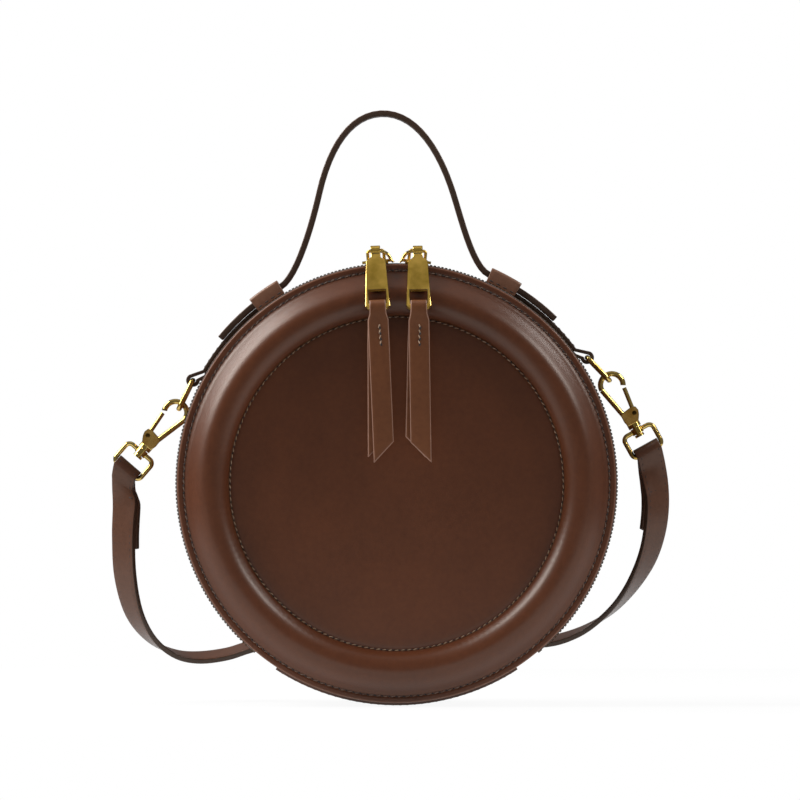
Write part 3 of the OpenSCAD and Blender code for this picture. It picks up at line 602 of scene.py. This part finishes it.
# a fold inside the bag hides the slit between the teeth, clear of the sliders
fold = {"thick": 0.2, "seam": 96.25, "free": 96.05, "depths": (57, 60.5, 62.5, 68.6)}
radii = [fold["seam"]] * 2 + [fold["free"]] * 2
outerLine = list(zip(radii, fold["depths"]))
innerLine = [(r - fold["thick"], depth) for r, depth in reversed(outerLine)]
finishPiece(tapeRing(outerLine + innerLine), "zipFacing", "root", [tapeCloth], deg=50)

# each flat lining: its body, glued face and loose face
lining = {"radius": 92, "wrinkle": 0.16, "back": ("root", 2.82, 3.4), "front": ("lid", 69.18, 68.6)}
for label in ("back", "front"):
    body, glued, loose = lining[label]
    outline = [(0, glued), (0, loose)] + [(r, loose) for r in (15, 30, 45, 60, 72, 82, 88)]
    outline += [(lining["radius"] - 0.2, loose), (lining["radius"], glued)]
    cover = turned(outline, steps=180)
    for vertex in cover.data.vertices:
        if abs(-vertex.co.y / mm - loose) < 0.05:
            x, z = vertex.co.x / mm, vertex.co.z / mm
            wave = 0.5 + 0.25 * sin(x / 11 + z / 19) + 0.25 * sin(z / 8 - x / 23)
            fade = max(0, 1 - (hypot(x, z) / lining["radius"]) ** 6)
            vertex.co.y -= copysign(lining["wrinkle"], loose - glued) * wave * fade * mm
    finishPiece(cover, label + "Lining", body, [liningCloth], [label + "_lining"], deg=50)
r0, r1 = inside - 1.8, inside - 1.2
outline = [(r0, 1.7), (r1, 1.7), (r1, 61.2), (r0 + 0.3, 61.28), (r0 - 0.1, 60.9), (r0 - 0.15, 60), (r0, 59)]
outline += [(r0 - 0.05 - 0.05 * sin(d / 5), d) for d in (52, 44, 36, 28, 20, 12)]
gussetCover = turned(outline, steps=240)
finishPiece(gussetCover, "gussetLining", "root", [liningCloth], ["gusset_lining"], deg=50)
print("zip tapes and linings ready")

# handle: a flat strap arching over the bag, its ends under two keepers

handle = {"arch": ((0, 0), (13.5, 0), (24, 13), (30.3, 35), (33.9, 47.5)), "top": 170, "shift": 2.4,
          "reach": 9, "width": 14.6, "thick": 2.7, "depth": 30, "turn": 3.3, "radius": 104.8, "keeperDeg": 31.4,
          "keeperLen": 15, "tailDeg": 16, "seamInset": 2, "seamStart": 30, "pitch": 3.3}


def bezier(a, b, c, d, t):
    return tuple(p * (1 - t) ** 3 + 3 * q * t * (1 - t) ** 2 + 3 * r * t * t * (1 - t) + s * t ** 3
                 for p, q, r, s in zip(a, b, c, d))


def rimPoint(deg, r):
    a = radians(deg)
    return (r * sin(a), r * cos(a))


keeperHalf = degrees(asin(handle["keeperLen"] / 2 / handle["radius"]))
footDeg = handle["keeperDeg"] - keeperHalf


def halfHandle(side, steps=12):
    top = [(side * half + handle["shift"], handle["top"] - drop) for half, drop in handle["arch"]]
    foot = rimPoint(side * footDeg, handle["radius"])
    a = radians(footDeg)
    reach = (foot[0] - handle["reach"] * side * cos(a), foot[1] + handle["reach"] * sin(a))
    first = [bezier(*top[:4], i / steps) for i in range(steps)]
    second = [bezier(*top[3:], reach, foot, i / steps) for i in range(steps + 1)]
    tailStep = (keeperHalf + handle["tailDeg"]) / 8
    return first + second + [rimPoint(side * (footDeg + tailStep * i), handle["radius"]) for i in range(1, 9)]


def turnLeft(point):
    a = radians(handle["turn"])
    return (point[0] * cos(a) - point[1] * sin(a), point[0] * sin(a) + point[1] * cos(a))


flatLine = [turnLeft(p) for p in list(reversed(halfHandle(-1))) + halfHandle(1)[1:]]
line = [place(x, z, handle["depth"]) for x, z in flatLine]
across = [Vector((0, -1, 0))] * len(line)
band = strip(line, across, handle["width"], handle["thick"], columns=6, edge=0.45)
finishPiece(band, "handle", "root", [handleLeather, edgePaint], ["handle"], deg=50)


def normalsOf(points, across):
    out = []
    for i in range(len(points)):
        a, b = points[max(0, i - 1)], points[min(len(points) - 1, i + 1)]
        out.append((b - a).cross(across[i]).normalized())
    return out


def alongLine(points, normals, across, sizes, flip):  # stitches near one edge, on the face the normals leave
    spots, run, want = [], 0.0, sizes["seamStart"] * mm
    stop = sum((b - a).length for a, b in zip(points, points[1:])) - want
    aside, lift = flip * (sizes["width"] / 2 - sizes["seamInset"]) * mm, sizes["thick"] / 2 * mm
    for i in range(len(points) - 1):
        step = points[i + 1] - points[i]
        while want <= run + step.length and want <= stop:
            t = (want - run) / step.length
            normal = normals[i].lerp(normals[i + 1], t).normalized()
            spot = points[i] + step * t + across[i].lerp(across[i + 1], t) * aside + normal * lift
            spots.append((spot, step, normal))
            want += sizes["pitch"] * mm
        run += step.length
    return spots


def stripSeams(points, across, sizes):  # stitches along both edges of both faces
    spots = []
    for flip in (-1, 1):
        for face in (-1, 1):
            normals = [normal * face for normal in normalsOf(points, across)]
            spots += alongLine(points, normals, across, sizes, flip)
    return spots


stitches("handleSeams", stripSeams(line, across, handle), "root", darkThreadAndHoleShade, length=2.3,
         thick=0.55, sink=0.3)

# keepers over the handle's ends

keeper = {"low": 99.9, "inner": 106.5, "thick": 1.6, "half": 7.65, "corner": 1.2, "nick": 0.3, "seamUp": 2.5}
low, roof, thick, midDepth = keeper["low"], keeper["inner"], keeper["thick"], handle["depth"]
top, r, nick = roof + thick, keeper["corner"], keeper["nick"]
rear, fore = midDepth - keeper["half"], midDepth + keeper["half"]
outline = [(low, rear - thick), (top - r, rear - thick)] + arc(top - r, rear - thick + r, r, -90, 0, 5)[1:]
outline += [(top + 0.12, midDepth - 4), (top + 0.16, midDepth), (top + 0.12, midDepth + 4)]
outline += arc(top - r, fore + thick - r, r, 0, 90, 5) + [(low, fore + thick), (low, fore)]
outline += [(roof - nick, fore), (roof, fore - nick), (roof, rear + nick), (roof - nick, rear), (low, rear)]
for side, label in ((-1, "Left"), (1, "Right")):
    middle = side * handle["keeperDeg"] - handle["turn"]
    loop = turned(outline, steps=8, middle=middle, half=keeperHalf)
    soften(loop, 0.3, deg=60)
    # the keepers' lighter leather is a painted highlight
    finishPiece(loop, "keeper" + label, "root", [keeperLeatherPaintedHighlight], ["keeper_" + label.lower()],
                deg=50)
    spots = []
    for i in range(4):
        a = middle + keeperHalf * (-0.72 + 0.48 * i)
        for depth, away in ((fore + thick, -1), (rear - thick, 1)):
            spots.append((onRim(a, low + keeper["seamUp"], depth), onRim(a + 90, 1, 0), Vector((0, away, 0))))
    stitches("keeperSeam" + label, spots, "root", darkThreadAndHoleShade, length=2.2, thick=0.55)

# ring tabs: one strip folded round the ring's bar and back under the keeper

tab = {"deg": 60, "width": 12.5, "thick": 1.6, "low": 99.9, "loopIn": 1.45, "lift": 2, "wrapDeg": 118,
       "shy": 2.4, "seamDeg": 12, "seamStep": 1.85, "seamInset": 1.8}
thick, barRadius = tab["thick"], tab["low"] + tab["loopIn"] + tab["thick"] + tab["lift"]


def tabSpot(side, deg, radius, depth=handle["depth"]):
    return place(*turnLeft(rimPoint(side * deg, radius)), depth)


def tabLayer(side, endDeg, radius):  # one flat layer, from under the keeper to the ring
    return [tabSpot(side, footDeg + 1 + (endDeg - footDeg - 1) * i / 14, radius) for i in range(15)]


for side, label in ((-1, "Left"), (1, "Right")):
    whole = tabLayer(side, tab["deg"] - tab["shy"], tab["low"] + thick / 2)
    mid = tab["loopIn"] + thick / 2
    for i in range(19):  # round the bar: starts low, passes the far side, comes back on top
        a = radians(tab["wrapDeg"] * (i / 9 - 1))
        onward = degrees(mid * cos(a) / barRadius)
        whole.append(tabSpot(side, tab["deg"] + onward, barRadius + mid * sin(a)))
    whole += reversed(tabLayer(side, tab["deg"] - tab["shy"] - 1, tab["low"] + 1.5 * thick + 0.05))
    wide = [Vector((0, -1, 0))] * len(whole)
    fold = strip(whole, wide, tab["width"], thick - 0.05, columns=4, edge=0.3)
    finishPiece(fold, "ringTab" + label, "root", [edgePaint, edgePaint],
                ["ring_tab_" + label.lower()], deg=50)
    spots = []
    for flip in (-1, 1):
        depth = handle["depth"] + flip * (tab["width"] / 2 - tab["seamInset"])
        for i in range(5):
            a = tab["deg"] - tab["seamDeg"] + tab["seamStep"] * i
            point = tabSpot(side, a, tab["low"] + 2 * thick + 0.02, depth)
            spots.append((point, tabSpot(side, a + 90, 1, 0), tabSpot(side, a, 1, 0)))
    stitches("tabSeam" + label, spots, "root", darkThreadAndHoleShade, length=1.8, thick=0.5)
print("handle ready")

# shoulder strap: one strip, folded round both strap rings, doubled at its ends

# angles of the ring and hook on each side, from straight down
strap = {"width": 12.5, "thick": 2.4, "doubled": 34, "ringHang": {-1: 26, 1: 44}, "hookHang": {-1: 41, 1: 29},
         "ringLength": 14.6, "bight": 2.75, "hookLength": 40.2, "barWire": 1.1, "air": 0.35, "ease": 16,
         "depth": 30, "startDeg": 14, "seamInset": 1.7, "seamStart": 2.5, "pitch": 3.2}
# the strap's way behind the bag: x, z and depth, then how far its width is turned and skewed, in degrees
route = [(-125, -8, 30, 30, -15), (-125.7, -25, 29.1, 38, 0), (-125, -43, 26.1, 42, 0),
         (-121.2, -60, 18.9, 55, 0), (-113.7, -72.2, 9, 76, 0), (-103.5, -79.3, 0, 96, 0),
         (-92.5, -81.5, -6.6, 106, 0), (-79, -80, -9, 107, 0), (-65, -76, -9, 105, 0), (-40, -73, -9, 96, 0),
         (0, -72, -9, 90, 0), (40, -72.8, -9, 90, 0), (66, -74.5, -9, 103, 0), (83.5, -70.3, -8.4, 99, 0),
         (97.7, -61.2, -3, 84, 0), (107.5, -50, 9, 70, 0), (115.2, -35.6, 21, 52, 0), (119, -21, 27.9, 40, 0),
         (119.8, -6, 30, 32, 8)]


def down(deg):
    a = radians(deg)
    return (sin(a), -cos(a))


def add(p, q, far):
    return (p[0] + far * q[0], p[1] + far * q[1])


def hookTop(side):  # where the hook hangs in the tab's ring
    tabAt = rimPoint(side * tab["deg"] - handle["turn"], barRadius)
    ringEnd = add(tabAt, down(side * strap["ringHang"][side]), strap["ringLength"])
    return add(ringEnd, down(side * strap["hookHang"][side]), -strap["bight"])


def strapBar(side):  # the strap ring's lower bar, under the hook
    return add(hookTop(side), down(side * strap["hookHang"][side]), strap["hookLength"])


def startRow(side, skew):
    away = strap["barWire"] + strap["air"] + 1.5 * strap["thick"] + 0.2
    return (*add(strapBar(side), down(side * strap["startDeg"]), away), strap["depth"], 12, skew)


rows = [startRow(-1, -50)] + route + [startRow(1, 22)]


def catmull(a, b, c, d, t):
    return [0.5 * (2 * q + (r - p) * t + (2 * p - 5 * q + 4 * r - s) * t * t + (3 * q - p - 3 * r + s) * t ** 3)
            for p, q, r, s in zip(a, b, c, d)]


def around(items, i):  # the four items that the curve from i to i + 1 follows
    return [items[max(0, i - 1)], items[i], items[i + 1], items[min(len(items) - 1, i + 2)]]


fine = [catmull(*around(rows, i), k / 6) for i in range(len(rows) - 1) for k in range(6)] + [rows[-1]]
middle = [place(*row[:3]) for row in fine]
strapAcross = []
for i, row in enumerate(fine):
    a, b = fine[max(0, i - 1)], fine[min(len(fine) - 1, i + 1)]
    flat = Vector((b[0] - a[0], b[1] - a[1])).normalized()
    inward = Vector((-flat.y, flat.x))
    skew, turnDeg = radians(row[4]), radians(row[3])
    x = inward.x * cos(skew) - inward.y * sin(skew)
    z = inward.x * sin(skew) + inward.y * cos(skew)
    strapAcross.append(place(x * cos(turnDeg), z * cos(turnDeg), sin(turnDeg)) / mm)
strapNormals = normalsOf(middle, strapAcross)


def foldEnd(side):  # the strap's way over the ring's bar, from the outer layer to the inner one
    hang = strap["hookHang"][side]
    first = 0 if side < 0 else len(middle) - 1
    bar = place(*strapBar(side), strap["depth"])
    up = -place(*down(side * hang), 0).normalized()
    out = Vector((0, -1, 0)) if strapNormals[first].y < 0 else Vector((0, 1, 0))
    a = radians(side * hang)
    wide = place(cos(a), sin(a), 0).normalized()
    if wide.dot(strapAcross[first]) < 0:
        wide = -wide
    r = (strap["barWire"] + strap["air"] + strap["thick"] / 2) * mm
    angles = [radians(b) for b in range(-15, 196, 15)]
    ring = [bar + r * (cos(b) * out + sin(b) * up) for b in angles]
    order = range(0, len(middle)) if side < 0 else range(len(middle) - 1, -1, -1)
    outer, inner, outerWide, run, last = [], [], [], 0.0, None
    for n, i in enumerate(order):
        run += (middle[i] - last).length / mm if last else 0
        last = middle[i]
        if run > strap["doubled"]:
            break
        share = max(0.0, 1 - run / strap["ease"]) ** 2
        if n >= 1:
            outer.append(middle[i] + strapNormals[i] * mm * 0.9 * share)
            inner.append(middle[i] - strapNormals[i] * mm * (strap["thick"] + strap["air"]))
            outerWide.append(strapAcross[i].lerp(wide, share).normalized())
    return outer, inner, outerWide, ring, [wide] * len(ring)


def swept(points, wides, step=2.6):  # even spacing along a smooth curve through the points
    out, outWide = [], []
    for i in range(len(points) - 1):
        p = around(points, i)
        count = max(1, round((p[2] - p[1]).length / (step * mm)))
        for k in range(count):
            out.append(Vector(catmull(*p, k / count)))
            outWide.append(wides[i].lerp(wides[i + 1], k / count).normalized())
    return out + [points[-1]], outWide + [wides[-1]]


leftOuter, leftInner, leftWide, leftRing, leftRingWide = foldEnd(-1)
rightOuter, rightInner, rightWide, rightRing, rightRingWide = foldEnd(1)
n, m = len(leftOuter) + 1, len(rightOuter) + 1
points = leftInner[::-1] + leftRing[::-1] + leftOuter + middle[n:len(middle) - m]
points += rightOuter[::-1] + rightRing + rightInner
wides = leftWide[::-1] + leftRingWide + leftWide + strapAcross[n:len(middle) - m]
wides += rightWide[::-1] + rightRingWide + rightWide
strapPath, strapWide = swept(points, wides)
body = strip(strapPath, strapWide, strap["width"], strap["thick"], columns=4, edge=0.4)
finishPiece(body, "shoulderStrap", "strap", [strapLeather, edgePaint],
            ["shoulder_strap", "strap_lining_left", "strap_lining_right", "strap_loop_left", "strap_loop_right"],
            deg=50)
spots = stripSeams(strapPath, strapWide, strap)
for i in (5, len(middle) - 6):  # four stitches across each end
    for k in range(4):
        aside = strap["width"] * (k - 1.5) / 5.2
        spot = middle[i] + (strapAcross[i] * aside + strapNormals[i] * strap["thick"] / 2) * mm
        spots.append((spot, strapAcross[i], strapNormals[i]))
stitches("strapSeams", spots, "strap", darkThreadAndHoleShade, length=2.2, thick=0.55, sink=0.27)
print("strap ready")

# leather pulls, looped through the pull plates

pull = {"width": 7.4, "flare": 2, "thick": 1.2, "length": 70.8, "shorter": 2.4, "lean": 32.574, "bar": 30.7,
        "hang": {-1: -2.4, 1: -0.9}, "splay": 2.2, "loop": 2.7, "slot": 2.6, "joined": 15, "apart": 0.68,
        "columns": 6}
slider = {"radius": 106.6, "deg": 5.2, "depth": 70.4}
pullRows = [("front", 1 - k / 22) for k in range(22)] + [("frontTop", 1 - k / 5) for k in range(5)]
pullRows += [("loop", k / 10) for k in range(11)] + [("backTop", (k + 1) / 5) for k in range(5)]
pullRows += [("back", (k + 1) / 22) for k in range(22)]


def plateAxes(side):  # the bail's place and the plate's own x and y, as (x, z, depth) in mm
    hang, lean = radians(-pull["hang"][side]), radians(pull["lean"])
    a = radians(side * slider["deg"])
    origin = Vector((slider["radius"] * sin(a), slider["radius"] * cos(a), slider["depth"]))
    tall = (-sin(hang) * cos(lean), cos(hang) * cos(lean), -sin(lean))
    return origin, Vector((cos(hang), sin(hang), 0)), Vector(tall)


def pullPoint(side, x, y, z):  # from the pull's own axes, about the middle of the plate's lower bar
    origin, wide, tall = plateAxes(side)
    bar = origin - tall * pull["bar"]
    return place(bar.x + x * wide.x - y * wide.y, bar.y + x * wide.y + y * wide.x, bar.z + z)


def pullShape(side, kind, s, u):  # kind and s say where along the pull, u where across
    face = 1 if kind.startswith("front") else -1
    full = pull["width"] + pull["flare"]
    if kind == "loop":
        a = radians(180 * s)
        return u * pull["width"], pull["loop"] * sin(a), pull["loop"] * cos(a)
    if kind.endswith("Top"):
        y = -pull["joined"] * s
        x = u * (pull["width"] + pull["flare"] * min(1, max(0, (-y - pull["slot"]) / 3)))
        z = face * (pull["apart"] + (pull["loop"] - pull["apart"]) * (1 - s) ** 1.4)
    else:
        slant = (0.5 - side * u) * full
        end = slant - pull["length"] + (pull["shorter"] if face < 0 else 0)
        x, y = u * full, -pull["joined"] + (end + pull["joined"]) * s
        wave = 0.5 * sin(pi * s * 1.2) if face > 0 else -0.25 * sin(pi * s * 1.5)
        z = face * (pull["apart"] - 0.22 * abs(2 * u) ** 3) + wave  # the edges lie a little flatter
    if face < 0:
        a = radians(-pull["splay"]) * min(1, -y / pull["joined"])
        x, y = x * cos(a) - y * sin(a), x * sin(a) + y * cos(a)
    return x, y, z


for side, label in ((-1, "left"), (1, "right")):
    deselect()
    bpy.ops.mesh.primitive_grid_add(x_subdivisions=len(pullRows) - 1, y_subdivisions=pull["columns"], size=0.1)
    piece = bpy.context.object
    for index, vertex in enumerate(piece.data.vertices):
        kind, s = pullRows[index % len(pullRows)]
        u = index // len(pullRows) / pull["columns"] - 0.5
        vertex.co = pullPoint(side, *pullShape(side, kind, s, u))
    needSlots(piece)
    apply(piece, "SOLIDIFY", thickness=pull["thick"] * mm, offset=0, material_offset_rim=1)
    soften(piece, 0.45, material=1)
    faceOut(piece)
    finishPiece(piece, label + "Pull", label + "_leather", [pullLeather, rawEdge],
                ["leather_pull_" + label], deg=50)
    spots, holes = [], []
    zero, out, slope = pullPoint(side, 0, 0, 0), Vector((0, -1, 0)), -0.06
    # each hole is a dark patch, painted shade where the thread dips into the leather
    for k in range(4):  # a row of stitches below the plate, each with the hole where it dips
        x, y = 0.12 * k * side, -8.6 - 2.5 * k
        z = 1.33 + 2 * (1 + y / pull["joined"]) ** 1.4 if -y < pull["joined"] else 1.33
        along, across = (pullPoint(side, tilt * side, 1, slope) - zero for tilt in (-0.42, 0.3))
        spots.append((pullPoint(side, 0.3 - x, y, z + 0.1), along, out))
        holes.append((pullPoint(side, 0.55 - x, y - 0.9, z), across, out))
    stitches(label + "PullSeam", spots, label + "_leather", tanThread, length=2.1, thick=0.6)
    stitches(label + "PullHoles", holes, label + "_leather", darkThreadAndHoleShade, length=1.7, thick=0.9)
print("pulls ready")

# pull plates and sliders: the CAD shape with its edges eased and polished bright

plate = {"windowHalf": 4.2, "windowTop": 24.8, "raise": 3}
bridge = {"hoop": 5, "wire": 0.75, "back": 1.6, "foot": 1.6, "radius": 101.2, "depth": 71.2}
hook = {"depth": 30, "cheekDepth": 2.6, "cheekThick": 0.9, "rivet": (2.8, -21.4), "rivetDepth": 3.2,
        "rivetRadius": 1.05, "rivetThick": 0.7, "ease": 0.25}
hook["cheek"] = [(-3.2, -19.6), (-1.6, -18.9), (3.2, -18.3), (4.7, -19), (5.1, -21), (4.4, -23), (2.7, -25.6),
                 (-2.7, -25.6), (-3.3, -23)]


def eased(node, name, body, width, deg, windowSide=None):
    deselect()
    piece = nodes[node].copy()
    piece.data = nodes[node].data.copy()
    bpy.context.collection.objects.link(piece)
    pick(piece)
    setMode("EDIT")
    bpy.ops.mesh.select_all(action="SELECT")
    bpy.ops.mesh.remove_doubles(threshold=5e-6)
    setMode("OBJECT")
    if windowSide:
        openWindow(piece, windowSide)
    setMode("EDIT")
    bpy.ops.mesh.select_all(action="SELECT")
    bpy.ops.mesh.dissolve_limited(angle_limit=radians(1))
    bpy.ops.mesh.normals_make_consistent(inside=False)
    setMode("OBJECT")
    needSlots(piece)
    soften(piece, width, deg=deg, material=1)
    finishPiece(piece, name, body, [satinGold, polishedGold], [node], deg=18)


def openWindow(piece, side):  # the window above the pull's bar reaches higher
    origin, wide, tall = plateAxes(side)
    lift = tall * plate["raise"] * mm
    for vertex in piece.data.vertices:
        spot = Vector((vertex.co.x, vertex.co.z, -vertex.co.y)) / mm - origin
        if abs(spot.dot(wide)) < plate["windowHalf"] and abs(spot.dot(tall) + plate["windowTop"]) < 0.4:
            vertex.co += Vector((lift.x, -lift.z, lift.y))


def sliderBridge(side, label):  # a quarter hoop of wire from the bail's top down to the slider's nose
    deselect()
    bpy.ops.mesh.primitive_torus_add(major_segments=64, minor_segments=14, major_radius=bridge["hoop"] * mm,
                                     minor_radius=bridge["wire"] * mm)
    piece = bpy.context.object
    setMode("EDIT")
    bpy.ops.mesh.select_mode(type="VERT")
    bpy.ops.mesh.select_all(action="DESELECT")
    setMode("OBJECT")
    for vertex in piece.data.vertices:
        vertex.select = vertex.co.x > 0.6 * mm or vertex.co.y < -0.9 * mm
    setMode("EDIT")
    bpy.ops.mesh.delete(type="VERT")
    bpy.ops.mesh.select_all(action="SELECT")
    bpy.ops.mesh.fill_holes(sides=0)
    setMode("OBJECT")
    a = radians(side * slider["deg"])
    for vertex in piece.data.vertices:
        x, y, z = vertex.co / mm
        foot = bridge["foot"] * min(1, max(0, (1.2 - y) / 2.1)) ** 2
        x, y, z = side * (x - bridge["back"] - foot), bridge["radius"] + y, bridge["depth"] + z
        vertex.co = place(x * cos(a) + y * sin(a), y * cos(a) - x * sin(a), z)
    faceOut(piece)
    finishPiece(piece, label + "Bridge", label + "_slider", [polishedGold], deg=60)


def hookSpot(side, x, y, depth):
    a, (topX, topZ), x = radians(side * strap["hookHang"][side]), hookTop(side), side * x
    return place(topX + x * cos(a) - y * sin(a), topZ + x * sin(a) + y * cos(a), depth)


def hookCheek(side, face, name):  # a flat cheek beside the gate's pivot, with the rivet's head on it
    deselect()
    bpy.ops.mesh.primitive_circle_add(vertices=len(hook["cheek"]), radius=0.01, fill_type="NGON")
    piece = bpy.context.object
    for vertex, (x, y) in zip(piece.data.vertices, hook["cheek"]):
        vertex.co = hookSpot(side, x, y, hook["depth"] + face * hook["cheekDepth"])
    needSlots(piece)
    apply(piece, "SOLIDIFY", thickness=hook["cheekThick"] * mm, offset=0)
    soften(piece, hook["ease"], material=1)
    faceOut(piece)
    end = "Front" if face > 0 else "Back"
    body = name + "_hook"
    finishPiece(piece, name + "Cheek" + end, body, [cheekGold, polishedGold], deg=18)
    deselect()
    spot = hookSpot(side, *hook["rivet"], hook["depth"] + face * hook["rivetDepth"])
    bpy.ops.mesh.primitive_cylinder_add(vertices=32, radius=hook["rivetRadius"] * mm,
                                        depth=hook["rivetThick"] * mm, location=spot,
                                        rotation=(radians(90), 0, 0))
    bpy.ops.object.transform_apply(location=True, rotation=True, scale=True)
    head = bpy.context.object
    soften(head, hook["ease"])
    finishPiece(head, name + "Rivet" + end, body, [rivetGold], deg=35)


for side, label in ((-1, "left"), (1, "right")):
    eased("pull_plate_" + label, label + "Plate", label + "_pull", 0.42, 35, side)
    eased("slider_" + label, label + "Slider", label + "_slider", 0.2, 50)
    sliderBridge(side, label)
    for face in (-1, 1):
        hookCheek(side, face, label)
print("plates ready")

# every ring, hook, tooth and board keeps its CAD shape and takes its finish here

finishes = [(polishedGold, ("ring_left", "ring_right", "hook_left", "hook_right", "gate_left", "gate_right",
                            "strap_ring_left", "strap_ring_right")),
            (rivetGold, ("gate_rivet_left", "gate_rivet_right")),
            (zipBrass, ("zip_teeth_rear", "zip_teeth_front", "zip_stops")),
            (boardPaper, ("back_board", "front_board"))]
for material, names in finishes:
    for name in names:
        nodes[name].data.materials.clear()
        nodes[name].data.materials.append(material)
